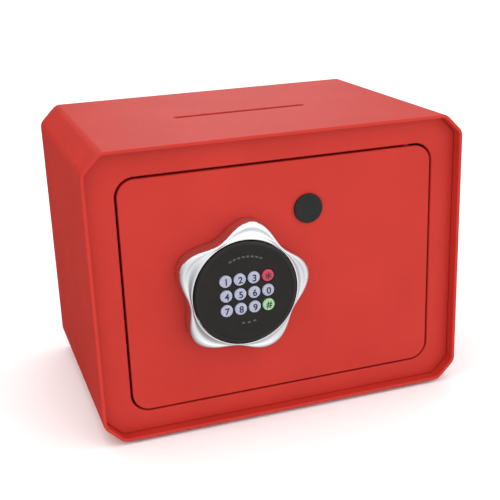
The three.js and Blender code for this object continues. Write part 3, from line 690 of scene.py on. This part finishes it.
door = door_block("door_pan", 0, door_low.y, door_high.y)
carve(door, door_block("hollow", -SHEET, door_low.y + SHEET, door_high.y + SHEET))
spindle_hole = through_door(knob_x, knob_z, SPINDLE_HOLE_RADIUS)
lock_hole = through_door(plug_x, plug_z, LOCK_HOLE_RADIUS)
carve(door, spindle_hole, lock_hole, hinge_hole())
round_edges(door, DOOR_EDGE, segments=4)
coat_with(stand_for(door, "door_panel"), red_coat)

back_low, back_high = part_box("back_panel")
rear = add_block("rear_sheet", back_low, back_high)
round_corners(rear, PANEL_LEG, 1)
round_corners(rear, PANEL_BEND, 4)
for side in (-1, 1):
    start = Vector((side * ANCHOR_X, back_low.y - SHEET, (case_low.z + case_high.z) / 2))
    carve(rear, add_rod("hole_tool", start, start + Vector((0, 3 * SHEET, 0)), ANCHOR_RADIUS))
round_edges(rear, BACK_EDGE)
coat_with(stand_for(rear, "back_panel"), red_coat)
print("door pan:", len(door.data.polygons), "faces, rear sheet:", len(rear.data.polygons))

# %% [markdown]
# ## Star ring
# The knob's ring is the piece that people grip: five soft lobes round a circular bore, each with a
# rounded outer edge and a shallow scoop that dips between that edge and the collar round the keypad. No
# chain of bevels gives that, because the scoop and the edge fade away in the valleys between lobes. A
# torus already has the right topology, one closed section repeated round a circle, so each of its
# vertices is moved to where the section of the star puts it at that angle.
#
# All values here are in millimetres, and depths count backwards from the case's lip. The section starts
# at the back of the outer wall, goes over the rounded edge and down the scoop to the collar, and comes
# back through the bore. There a web with a round eye joins the ring to its spindle.

# %% Section of the ring
RING_MEAN, RING_WAVE, RING_LOBES, FIRST_LOBE_DEG = 36.5, 3.9, 5, 79.9
BORE, SEAT, EYE = 31.0, 16.3, 8.3
COLLAR_DEPTH, CREST_DEPTH, VALLEY_DROP, SCOOP = -6.0, -4.0, 1.2, 1.35
WALL_FRONT, WEB_FRONT, SEAT_DEPTH, BACK = 0.8, 2.5, 4.2, 5.9
BACK_ROUND, DRAFT = 0.3, 0.08
EDGE_WIDTH, LOBE_EXTRA = 0.8, 2.2
EDGE_STEPS, SCOOP_STEPS = 8, 20


def star_radius(angle):
    """The star's outline: a circle whose radius swings once for each lobe."""
    return RING_MEAN + RING_WAVE * math.cos(RING_LOBES * (angle - math.radians(FIRST_LOBE_DEG)))


def ring_section(outer):
    """The ring's closed section as (radius, depth behind the lip), in mm, for one outer radius."""
    lobe = (outer - RING_MEAN + RING_WAVE) / (2 * RING_WAVE)
    band = EDGE_WIDTH + LOBE_EXTRA * lobe
    crest = CREST_DEPTH - VALLEY_DROP * (1 - lobe)
    section = [(outer - BACK_ROUND, BACK), (outer, BACK - BACK_ROUND)]
    section += [(outer, (WALL_FRONT + BACK - BACK_ROUND) / 2), (outer, WALL_FRONT)]
    for step in range(EDGE_STEPS + 1):
        share = step / EDGE_STEPS
        section.append((outer - DRAFT - band * share, crest + 0.6 * band * (1 - share) ** 2))
    outside = outer - DRAFT - band
    inside = BORE + min(0.6, 0.4 * (outer - band - BORE))
    for step in range(1, SCOOP_STEPS + 1):
        share = step / SCOOP_STEPS
        ease = share * share * (3 - 2 * share)
        dip = SCOOP * lobe * math.sin(math.pi * share) ** 1.5
        section.append((outside + (inside - outside) * share, crest + (COLLAR_DEPTH - crest) * ease + dip))
    section += [(BORE + 0.15, COLLAR_DEPTH + 0.02), (BORE, COLLAR_DEPTH + 0.2), (BORE, -1)]
    section += [(BORE, WEB_FRONT), (SEAT, WEB_FRONT), (SEAT, SEAT_DEPTH)]
    section += [(EYE, SEAT_DEPTH), (EYE, BACK), (BORE, BACK)]
    return section


print("the section has", len(ring_section(RING_MEAN)), "points")

# %% Star ring
RING_STEPS = 250
CREASE_DEG = 40
section_count = len(ring_section(RING_MEAN))
bpy.ops.object.select_all(action="DESELECT")
bpy.ops.mesh.primitive_torus_add(
    major_segments=RING_STEPS, minor_segments=section_count, major_radius=20 * MM, minor_radius=10 * MM
)
ring = settle("star_ring")
for step in range(RING_STEPS):
    angle = 2 * math.pi * step / RING_STEPS
    for place, (radius, depth) in enumerate(ring_section(star_radius(angle))):
        x, z = knob_x + radius * MM * math.cos(angle), knob_z + radius * MM * math.sin(angle)
        ring.data.vertices[step * section_count + place].co = (x, case_low.y + depth * MM, z)
choose(ring)
bpy.ops.object.mode_set(mode="EDIT")
bpy.ops.mesh.select_all(action="SELECT")
bpy.ops.mesh.normals_make_consistent(inside=False)
bpy.ops.object.mode_set(mode="OBJECT")
smooth(ring, CREASE_DEG)
coat_with(stand_for(ring, "knob_ring"), satin_silver)
print("ring:", len(ring.data.polygons), "faces")

# %% [markdown]
# ## Keypad
# The keypad's body is a round moulded tray with a polished, rounded rim. Its face is a matt overlay that
# lies a little lower than the rim, pierced by twelve wells. The tray is turned from its back to its
# front, hollowed, and drilled. The faces of the overlay are then found by their place and get the matt
# finish.

# %% Keypad body
OVERLAY_SINK, OVERLAY_INSET = 0.3, 2.6
TRAY_WALL, RIM_ROUND, WELL_RADIUS = 2, 1.7, 4
KEY_NAMES = [name for name in BODY_OF if name.startswith("key_") and name != "key_mat"]
pad_radius = (pad_high.x - pad_low.x) / 2 / MM
pad_depth = (pad_high.y - pad_low.y) / MM
rim_profile = [(0, pad_radius - 0.3), *rounded_end(pad_depth, pad_radius, RIM_ROUND, RIM_ROUND)]
rim_profile += [(pad_depth, pad_radius - 2.3), (pad_depth - 0.08, pad_radius - 2.5)]
rim_profile += [(pad_depth - OVERLAY_SINK, pad_radius - OVERLAY_INSET)]
keypad = add_turned("keypad_tray", (knob_x, pad_high.y, knob_z), (0, -1, 0), rim_profile, sides=160)
floor_y = pad_low.y + TRAY_WALL * MM
hollow_end = (knob_x, pad_high.y + SHEET, knob_z)
carve(keypad, add_rod("hollow", (knob_x, floor_y, knob_z), hollow_end, (pad_radius - TRAY_WALL) * MM))
for name in KEY_NAMES:
    x, _, z = box_of(name)[2]
    carve(keypad, add_rod("well", (x, pad_low.y - MM, z), (x, floor_y + MM, z), WELL_RADIUS * MM, sides=48))
round_edges(keypad, 0.12 * MM, segments=2)
coat_with(stand_for(keypad, "keypad_housing"), rim_abs, overlay_abs)
overlay_y = pad_low.y + OVERLAY_SINK * MM
for face in keypad.data.polygons:
    across = math.hypot(face.center.x - knob_x, face.center.z - knob_z) / MM
    inside = across < pad_radius - OVERLAY_INSET + 0.05
    face.material_index = int(inside and face.center.y > overlay_y - HAIR)
print("keypad tray:", len(keypad.data.polygons), "faces,", len(KEY_NAMES), "wells")

# %% [markdown]
# ## Keys
# A key is turned once: a stem, a body and a domed crown. It is copied to each key's place, and each copy
# gets its character from Blender's own font. A character is a very thin solid that stands a hundredth or
# two of a millimetre proud, as printed ink does. The two coloured keys carry the plain signs that keypads
# use, a star and a hash. The font's star is small, so it is set larger.

# %% Keys
CHARACTERS = {"key_red": "*", "key_green": "#"}
CHARACTER_HEIGHT = 4.0 * MM
FONT_SHARE = 0.73
STAR_SCALE = 1.6
INK_SPREAD, INK_DEPTH = 0.14 * MM, 0.05 * MM
PRINT_SHIFT = Vector((0.15, 0.07, -0.15)) * MM


def add_character(character, place):
    """One printed character that faces the front, with the middle of its outline at the given place."""
    bpy.ops.object.select_all(action="DESELECT")
    bpy.ops.object.text_add(location=place, rotation=(math.pi / 2, 0, 0))
    text = bpy.context.object
    text.data.body = character
    text.data.size = CHARACTER_HEIGHT / FONT_SHARE * (STAR_SCALE if character == "*" else 1)
    text.data.offset = INK_SPREAD
    text.data.extrude = INK_DEPTH
    bpy.ops.object.convert(target="MESH")
    bpy.ops.object.origin_set(type="ORIGIN_GEOMETRY", center="BOUNDS")
    text.location = place
    return settle("character")


STEM, STEM_RADIUS, KEY_RADIUS = 1.3, 2.1, 3.6
key_low, key_high, key_middle = box_of("key_1")
key_top = (key_high.y - key_low.y) / MM - 0.04
key_profile = [(0, STEM_RADIUS), (STEM, STEM_RADIUS), (STEM, KEY_RADIUS)]
key_profile += [*rounded_end(key_top, KEY_RADIUS, 0.75, 1.3), (key_top + 0.01, 1.6)]
key_foot = Vector((key_middle.x, key_high.y, key_middle.z))
pattern_key = smooth(add_turned("pattern_key", key_foot, (0, -1, 0), key_profile, sides=48))
for name in KEY_NAMES:
    low, _, (x, _, z) = box_of(name)
    key = copy_of(pattern_key, name + "_cap", (x - key_foot.x, 0, z - key_foot.z))
    coat_with(key, KEY_FINISH[SLOT_OF[name]])
    sign = add_character(CHARACTERS.get(name, name[-1]), Vector((x, low.y, z)) + PRINT_SHIFT)
    coat_with(sign, ink)
    choose(key, sign)
    bpy.ops.object.join()
    stand_for(key, name)
bpy.data.objects.remove(pattern_key)
print("keys:", len(KEY_NAMES), "with", len(key.data.polygons), "faces on the last one")

# %% [markdown]
# ## Trim on the keypad
# Above the keys sits an arc of small raised marks, and three more sit below them. They are plain dashes,
# moulded in smoked grey. Each is a little bar, turned to follow the arc before its transform is applied.
# Each arc is given by its radius and by the angles of its dashes.

# %% Keypad trim
DASH_SIZE = Vector((1.8, 0.3, 1.1)) * MM
TOP_ARC, BOTTOM_ARC = (21.7, range(65, 115, 7)), (17.8, range(262, 287, 11))


def add_dash(angle_deg, arc_radius):
    """A raised bar across the radius, in mm, at an angle round the knob's axis."""
    angle = math.radians(angle_deg)
    x = knob_x + arc_radius * MM * math.cos(angle)
    z = knob_z + arc_radius * MM * math.sin(angle)
    bpy.ops.object.select_all(action="DESELECT")
    bpy.ops.mesh.primitive_cube_add(
        size=1, location=(x, overlay_y, z), rotation=(0, math.pi / 2 - angle, 0), scale=DASH_SIZE
    )
    return round_edges(settle("dash"), 0.1 * MM, segments=2)


dashes = [add_dash(angle, radius) for radius, angles in (TOP_ARC, BOTTOM_ARC) for angle in angles]
choose(*dashes)
bpy.ops.object.join()
trim = dashes[0]
trim.name = "keypad_trim"
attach(trim, BODY_OF["keypad_housing"])
coat_with(trim, smoked_abs)
print("trim:", len(dashes), "dashes")

# %% [markdown]
# ## Plug over the override lock
# A round plug hides the keyhole. A neck holds it in the lock's mouth. Its face is very slightly dished,
# which gives it a soft light in the middle. The dish is given by how far it sinks at shares of the
# radius.

# %% Plug
NECK, NECK_RADIUS = 3.7, 5.5
DISH = [(0.02, 0.86), (0.1, 0.7), (0.18, 0.5), (0.23, 0.3), (0.25, 0.1)]
plug_length = (plug_high.y - plug_low.y) / MM
plug_radius = (plug_high.x - plug_low.x) / 2 / MM
plug_profile = [(0, NECK_RADIUS - 0.3), (0.3, NECK_RADIUS), (NECK, NECK_RADIUS)]
plug_profile += [(NECK, plug_radius - 0.1), (NECK + 0.1, plug_radius)]
plug_profile += rounded_end(plug_length, plug_radius, 0.6, 0.8)
plug_profile += [(plug_length - sink, plug_radius * share) for sink, share in DISH]
plug = smooth(add_turned("keyhole_plug", (plug_x, plug_high.y, plug_z), (0, -1, 0), plug_profile, sides=96))
coat_with(stand_for(plug, "plug_cover"), plug_abs)
print("plug:", round(2 * plug_radius, 1), "mm across")

# %% [markdown]
# ## Feet, hinge pins and bolts
# These are turned pieces with small rounded edges. The box of each CAD node gives its place and its
# length. The hinge pins were coated together with the door.

# %% Feet
for name in [node for node in BODY_OF if node.startswith("foot_")]:
    low, high, middle = box_of(name)
    radius, length = (high.x - low.x) / 2 / MM, (high.z - low.z) / MM
    profile = [(0, radius), *rounded_end(length, radius, 0.6, 0.7)]
    profile += [(length, radius - 2), (length - 0.5, radius - 2.6)]
    foot = smooth(add_turned(name + "_pad", (middle.x, middle.y, high.z), (0, 0, -1), profile, sides=72))
    coat_with(stand_for(foot, name), rubber)
print("feet:", round(length, 2), "mm tall")

# %% Hinge pins and bolts
PIN_RADIUS, HEAD_RADIUS, HEAD_HEIGHT = 2, 3.2, 1.5
for name, toward in (("hinge_pin_top", 1), ("hinge_pin_bottom", -1)):
    low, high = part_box(name)
    start_z = low.z if toward > 0 else high.z
    length = (high.z - low.z) / MM
    shaft = [(0, PIN_RADIUS - 0.3), (0.3, PIN_RADIUS), *rounded_end(length, PIN_RADIUS, 0.6, 0.6)]
    pin = add_turned(name + "_rod", (hinge_x, hinge_y, start_z), (0, 0, toward), shaft, sides=48)
    head_profile = [(0, HEAD_RADIUS - 0.3), (0.3, HEAD_RADIUS)]
    head_profile += [(HEAD_HEIGHT - 0.3, HEAD_RADIUS), (HEAD_HEIGHT, HEAD_RADIUS - 0.3)]
    head_foot = (hinge_x, high.y - HEAD_RADIUS * MM, start_z)
    head = add_turned("head", head_foot, (0, 0, toward), head_profile)
    carve(pin, head, operation="UNION")
    coat_with(stand_for(smooth(pin), name), red_coat)

for name in ("bolt_upper", "bolt_lower"):
    low, high, middle = box_of(name)
    radius, length = (high.z - low.z) / 2 / MM, (high.x - low.x) / MM
    profile = [(0, radius - 0.3), (0.3, radius), (length - 1.4, radius)]
    profile += [(length - 0.3, radius - 1), (length, radius - 1.4)]
    bolt = smooth(add_turned(name + "_bar", (high.x, middle.y, middle.z), (-1, 0, 0), profile, sides=80), 24)
    coat_with(stand_for(bolt, name), zinc_steel)
print("bolts:", round(length, 1), "mm long,", round(2 * radius, 1), "mm across")

# %% [markdown]
# ## Lock cover
# With the door open, the inside of the lock is covered by a moulded box that is screwed to the door. It
# is hollowed from a block, and has holes for the bolts, the code button, the battery lid and four screws.

# %% Lock cover
WALL = 2 * MM
COVER_CORNER, COVER_EDGE = 6 * MM, 0.6 * MM
BOLT_HOLE_RADIUS, BUTTON_HOLE_RADIUS = 6.5 * MM, 3.3 * MM
BOSS_RADIUS, SCREW_HOLE_RADIUS = 4 * MM, 1.9 * MM
LID_GAP = Vector((0.3, 2, 0.3)) * MM
SCREWS = [node for node in BODY_OF if node.startswith("cover_screw_")]
cover_low, cover_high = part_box("lock_cover")
lid_low, lid_high, lid_middle = box_of("battery_lid")
cover = round_corners(add_block("lock_box", cover_low, cover_high), COVER_CORNER, 10)
room_low = cover_low + Vector((WALL, -WALL, WALL))
room_high = cover_high - Vector((WALL, WALL, WALL))
carve(cover, round_corners(add_block("room", room_low, room_high), COVER_CORNER - WALL, 8))
carve(cover, add_block("lid_hole", lid_low - LID_GAP, lid_high + LID_GAP))
for name in ("bolt_upper", "bolt_lower"):
    _, y, z = box_of(name)[2]
    start, end = (cover_low.x - 2 * WALL, y, z), (cover_low.x + 2 * WALL, y, z)
    carve(cover, add_rod("bolt_hole", start, end, BOLT_HOLE_RADIUS))
button_low, button_high, (button_x, _, button_z) = box_of("reset_button")
start = Vector((button_x, room_high.y - WALL, button_z))
carve(cover, add_rod("button_hole", start, start + Vector((0, 3 * WALL, 0)), BUTTON_HOLE_RADIUS))
for name in SCREWS:
    x, _, z = box_of(name)[2]
    boss = add_rod("boss", (x, cover_low.y, z), (x, cover_high.y - WALL / 2, z), BOSS_RADIUS, sides=48)
    carve(cover, boss, operation="UNION")
    start, end = (x, cover_low.y - WALL, z), (x, cover_high.y + WALL, z)
    carve(cover, add_rod("hole", start, end, SCREW_HOLE_RADIUS, sides=48))
round_edges(cover, COVER_EDGE)
coat_with(stand_for(cover, "lock_cover"), cover_abs)
print("lock cover:", len(cover.data.polygons), "faces")

# %% [markdown]
# The battery lid drops into its hole. It has a recess for a finger, and grooves for grip: one is modelled
# and copied. The screws have pan heads with a cross recess, and the code button stands a little proud of
# the cover.

# %% Battery lid
GROOVES, GROOVE_PITCH = 5, 2.2 * MM
lid = add_block("battery_door", lid_low, lid_high)
lid_top = Vector((lid_middle.x, lid_high.y, lid_high.z))
thumb_low = lid_top - Vector((9, 0.8, 6.7)) * MM
carve(lid, add_block("thumb", thumb_low, thumb_low + Vector((18, 2, 3)) * MM))
groove_low = lid_top - Vector((12, 0.35, 20)) * MM
groove = add_block("groove", groove_low, groove_low + Vector((24, 1, 0.9)) * MM)
for count in range(1, GROOVES):
    carve(lid, copy_of(groove, "groove_copy", (0, 0, count * GROOVE_PITCH)))
carve(lid, groove)
round_edges(lid, 0.25 * MM, segments=2)
coat_with(stand_for(lid, "battery_lid"), cover_abs)
print("battery lid:", len(lid.data.polygons), "faces")

# %% Screws and code button
SHANK_RADIUS, PAN_RADIUS, PAN_HEIGHT = 1.5, 3.2, 1.6
CROSS_REACH = Vector((1.9, 1, 0.42)) * MM
low, high, middle = box_of(SCREWS[0])
screw_foot = Vector((middle.x, low.y, middle.z))
length = (high.y - low.y) / MM
profile = [(0, 0.6), (1.2, SHANK_RADIUS), (length - PAN_HEIGHT, SHANK_RADIUS)]
profile += [(length - PAN_HEIGHT, PAN_RADIUS - 0.1), *rounded_end(length, PAN_RADIUS, 1.3, 1.6)]
pattern_screw = add_turned("pattern_screw", screw_foot, (0, 1, 0), profile, sides=48)
pan_top = screw_foot + Vector((0, length * MM, 0))
for reach in (CROSS_REACH, CROSS_REACH.zyx):
    carve(pattern_screw, add_block("recess", pan_top - reach, pan_top + reach))
smooth(pattern_screw)
for name in SCREWS:
    shift = box_of(name)[2] - middle
    coat_with(stand_for(copy_of(pattern_screw, name + "_pan", shift), name), zinc_steel)
bpy.data.objects.remove(pattern_screw)

BUTTON_FLANGE, BUTTON_RADIUS = 4.2, 3
length = (button_high.y - button_low.y) / MM
profile = [(0, BUTTON_FLANGE), (1.3, BUTTON_FLANGE), (1.3, BUTTON_RADIUS)]
profile += [*rounded_end(length, BUTTON_RADIUS, 0.5, 0.6), (length - 0.1, 1.8), (length - 0.15, 0.8)]
button_foot = (button_x, button_low.y, button_z)
button = smooth(add_turned("code_button_cap", button_foot, (0, 1, 0), profile, sides=48))
coat_with(stand_for(button, "reset_button"), KEY_FINISH["red_key"])
print("cover fittings:", len(SCREWS), "screws and the code button")

# %% [markdown]
# ## Batteries
# Four cells stand side by side, each the other way up from its neighbour. Each is turned with its cap and
# its rolled edge, and the parts inside the sleeve's edge get the steel finish.

# %% Batteries
CAP_HEIGHT, CAP_RADIUS = 1.2, 2.7
for name in [node for node in BODY_OF if node.startswith("battery_") and node[-1].isdigit()]:
    low, high, middle = box_of(name)
    radius, length = (high.x - low.x) / 2 / MM, (high.z - low.z) / MM
    foot_z, toward = (low.z, 1) if int(name[-1]) % 2 else (high.z, -1)
    shoulder = length - CAP_HEIGHT
    profile = [(0, radius - 0.8), (0.5, radius), *rounded_end(shoulder, radius, 0.7, 0.9)]
    profile += [(shoulder - 0.3, radius - 1.5), (shoulder - 0.3, CAP_RADIUS)]
    profile += rounded_end(length, CAP_RADIUS, 0.3, 0.3, steps=3)
    cell = smooth(add_turned(name + "_cell", (middle.x, middle.y, foot_z), (0, 0, toward), profile))
    coat_with(stand_for(cell, name), sleeve, zinc_steel)
    for face in cell.data.polygons:
        across = math.hypot(face.center.x - middle.x, face.center.y - middle.y) / MM
        face.material_index = int(across < radius - 1)
print("cells:", round(length, 1), "mm long")

# %% [markdown]
# ## Override lock
# Behind the plug are the lock's barrel and its brass core with a keyway. They are seen when the plug is
# out, so both are turned fine. The barrel is bored through, and its mouth is bored wider for the plug's
# neck.

# %% Override lock
BARREL_RADIUS, BORE_RADIUS, CORE_RADIUS = 8.1, 5.3, 5
MOUTH, MOUTH_RADIUS = 4.1, 5.9
KEYWAY_SIZE = Vector((1.2, 10.4, 6.4)) * MM
low, high, middle = box_of("override_barrel")
profile = [(0, BARREL_RADIUS), *rounded_end((high.y - low.y) / MM, BARREL_RADIUS, 0.4, 0.4, steps=3)]
barrel = add_turned("lock_barrel", (plug_x, high.y, plug_z), (0, -1, 0), profile, sides=80)
start, end = (plug_x, middle.y - 20 * MM, plug_z), (plug_x, middle.y + 20 * MM, plug_z)
carve(barrel, add_rod("bore", start, end, BORE_RADIUS * MM))
start, end = (plug_x, low.y + (MOUTH - 8) * MM, plug_z), (plug_x, low.y + MOUTH * MM, plug_z)
carve(barrel, add_rod("mouth", start, end, MOUTH_RADIUS * MM))
coat_with(stand_for(round_edges(barrel, 0.15 * MM, segments=2), "override_barrel"), zinc_steel)

low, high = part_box("override_core")
profile = [(0, CORE_RADIUS - 0.2), (0.2, CORE_RADIUS)]
profile += rounded_end((high.y - low.y) / MM, CORE_RADIUS, 0.5, 0.5, steps=4)
core = add_turned("lock_core", (plug_x, high.y, plug_z), (0, -1, 0), profile, sides=72)
keyway_low = Vector((plug_x - KEYWAY_SIZE.x / 2, low.y - MM, plug_z - KEYWAY_SIZE.z / 2))
carve(core, add_block("keyway", keyway_low, keyway_low + KEYWAY_SIZE))
coat_with(stand_for(smooth(core), "override_core"), brass)
print("override lock: barrel and core")

# %% [markdown]
# ## Felt on the store's floor
# A sheet of felt lies on the floor inside, so that coins don't rattle. It is cut to a rectangle with
# small round corners.

# %% Felt
FELT_CORNER, FELT_EDGE = 4 * MM, 0.5 * MM
felt_low, felt_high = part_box("floor_mat")
mat = round_corners(add_block("store_felt", felt_low, felt_high), FELT_CORNER, 6, runs("Z"))
round_edges(mat, FELT_EDGE)
coat_with(stand_for(mat, "floor_mat"), felt)

# %% [markdown]
# ## Pieces that keep their CAD shape
# What is left is hidden by the lock cover or the keypad, and its shape is right as it is. The rods,
# brackets and boards get a copy with merged triangles, rounded edges and smooth shading, because CAD
# triangles are loose and have knife edges. The two leads keep their own mesh and get their finish.

# %% Inner pieces
FINISH_OF_SLOT = {
    "zinc_steel": zinc_steel, "rubber": rubber, "nylon": nylon, "circuit_board": board,
    "copper_coil": winding, "black_plastic": cover_abs, "lead_sleeve": lead_sleeve,
}
INNER_EDGE = 0.15 * MM


def refined(node):
    """A copy of a CAD node with merged triangles, flat faces made whole, and rounded edges."""
    copy = copy_of(frame["nodes"][node], node + "_piece")
    copy.parent = None
    choose(copy)
    bpy.ops.object.mode_set(mode="EDIT")
    bpy.ops.mesh.select_all(action="SELECT")
    bpy.ops.mesh.remove_doubles(threshold=0.002 * MM)
    bpy.ops.mesh.dissolve_limited(angle_limit=math.radians(1))
    bpy.ops.object.mode_set(mode="OBJECT")
    return round_edges(copy, INNER_EDGE, segments=2)


for node in BODY_OF:
    if frame["nodes"][node].hide_render:
        continue
    is_lead = SLOT_OF[node] == "lead_sleeve"
    piece = frame["nodes"][node] if is_lead else stand_for(refined(node), node)
    coat_with(piece, FINISH_OF_SLOT[SLOT_OF[node]])
print("every node has its finish")

# %% [markdown]
# ## Floor and light
# The set is a wide white table: a pale floor with no visible edge, a bright white surround, and large
# soft lights. The roof light is above and behind, which gives the roof its pale sheen. The key light is
# in front and to the right, and a fill on the left keeps that side from going dark. A round white wall
# far off fills the view from low down. It is hidden from every ray but the camera's, so that it casts no
# light or shadow.

# %% Floor
TABLE_SIZE = 30
WALL_RADIUS, WALL_HEIGHT, WALL_FOOT_Z = 12, 10, -0.5


def white_table():
    material, tree, shader, place = start_material("matt_white_table", {"Specular IOR Level": 0.2})
    mottle = speckle(tree, place, 120, detail=3)
    weave = speckle(tree, place, 1.5)
    finish_with(
        tree, shader, color=blend_colors(tree, mottle, "#FBFBFB", "#F6F6F6"),
        roughness=between(tree, weave, 0.8, 0.95), height=weave, depth_mm=0.01,
    )
    return material


bpy.ops.object.select_all(action="DESELECT")
bpy.ops.mesh.primitive_plane_add(size=TABLE_SIZE, location=(0, 0, cad_low.z))
table_white = white_table()
table = coat_with(settle("table"), table_white)
table.visible_glossy = False

bpy.ops.object.select_all(action="DESELECT")
bpy.ops.mesh.primitive_cylinder_add(
    vertices=128, radius=WALL_RADIUS, depth=WALL_HEIGHT, end_fill_type="NOTHING",
    location=(0, 0, WALL_FOOT_Z + WALL_HEIGHT / 2),
)
wall = coat_with(settle("far_wall"), table_white)
for kind in ("diffuse", "glossy", "transmission", "volume_scatter", "shadow"):
    setattr(wall, "visible_" + kind, False)
print("table:", [round(side, 1) for side in table.dimensions.xy], "m")

# %% Surround
SKY_LEVEL = 0.55
SKY_SLOPE = (0.3, -0.55, 0.85)
FLAT_BELOW = (-1, -1, 0)
DIMMEST_SKY = 0.03
world = bpy.data.worlds.new("white_surround")
world.use_nodes = True
sky = world.node_tree
way = add_node(sky, "ShaderNodeTexCoord").outputs["Generated"]
above = add_node(sky, "ShaderNodeVectorMath", {0: way, 1: FLAT_BELOW}, operation="MAXIMUM").outputs["Vector"]
sloped = add_node(sky, "ShaderNodeVectorMath", {0: above, 1: SKY_SLOPE}, operation="DOT_PRODUCT")
inputs = {0: sloped.outputs["Value"], 1: SKY_LEVEL}
level = add_node(sky, "ShaderNodeMath", inputs, operation="ADD").outputs[0]
level = add_node(sky, "ShaderNodeMath", {0: level, 1: DIMMEST_SKY}, operation="MAXIMUM").outputs[0]
sky.links.new(level, sky.nodes["Background"].inputs["Strength"])
sky.nodes["Background"].inputs["Color"].default_value = (1, 1, 1, 1)
bpy.context.scene.world = world
bpy.context.scene.view_settings.view_transform = "Standard"
print("surround:", world.name)

# %% Lights
TARGET = Vector((0, 0, 0.085))
# name, place, size across, watts, and whether shiny pieces mirror it
LIGHTS = [
    ("roof_light", (-0.1, 0.3, 1.8), 1.6, 7.0, True),
    ("back_light", (0.6, 2.0, 1.1), 1.0, 2.5, True),
    ("key_light", (1.3, -1.4, 0.8), 1.2, 3.0, True),
    ("left_fill", (-1.8, -0.3, 0.6), 1.2, 9.0, False),
]
for name, place, size, watts, reflected in LIGHTS:
    lamp = bpy.data.lights.new(name, "AREA")
    lamp.shape = "DISK"
    lamp.size = size
    lamp.energy = watts
    light = bpy.data.objects.new(name, lamp)
    light.location = place
    light.rotation_euler = (TARGET - Vector(place)).to_track_quat("-Z", "Y").to_euler()
    light.visible_glossy = reflected
    bpy.context.scene.collection.objects.link(light)
print("lights:", [name for name, *_ in LIGHTS])
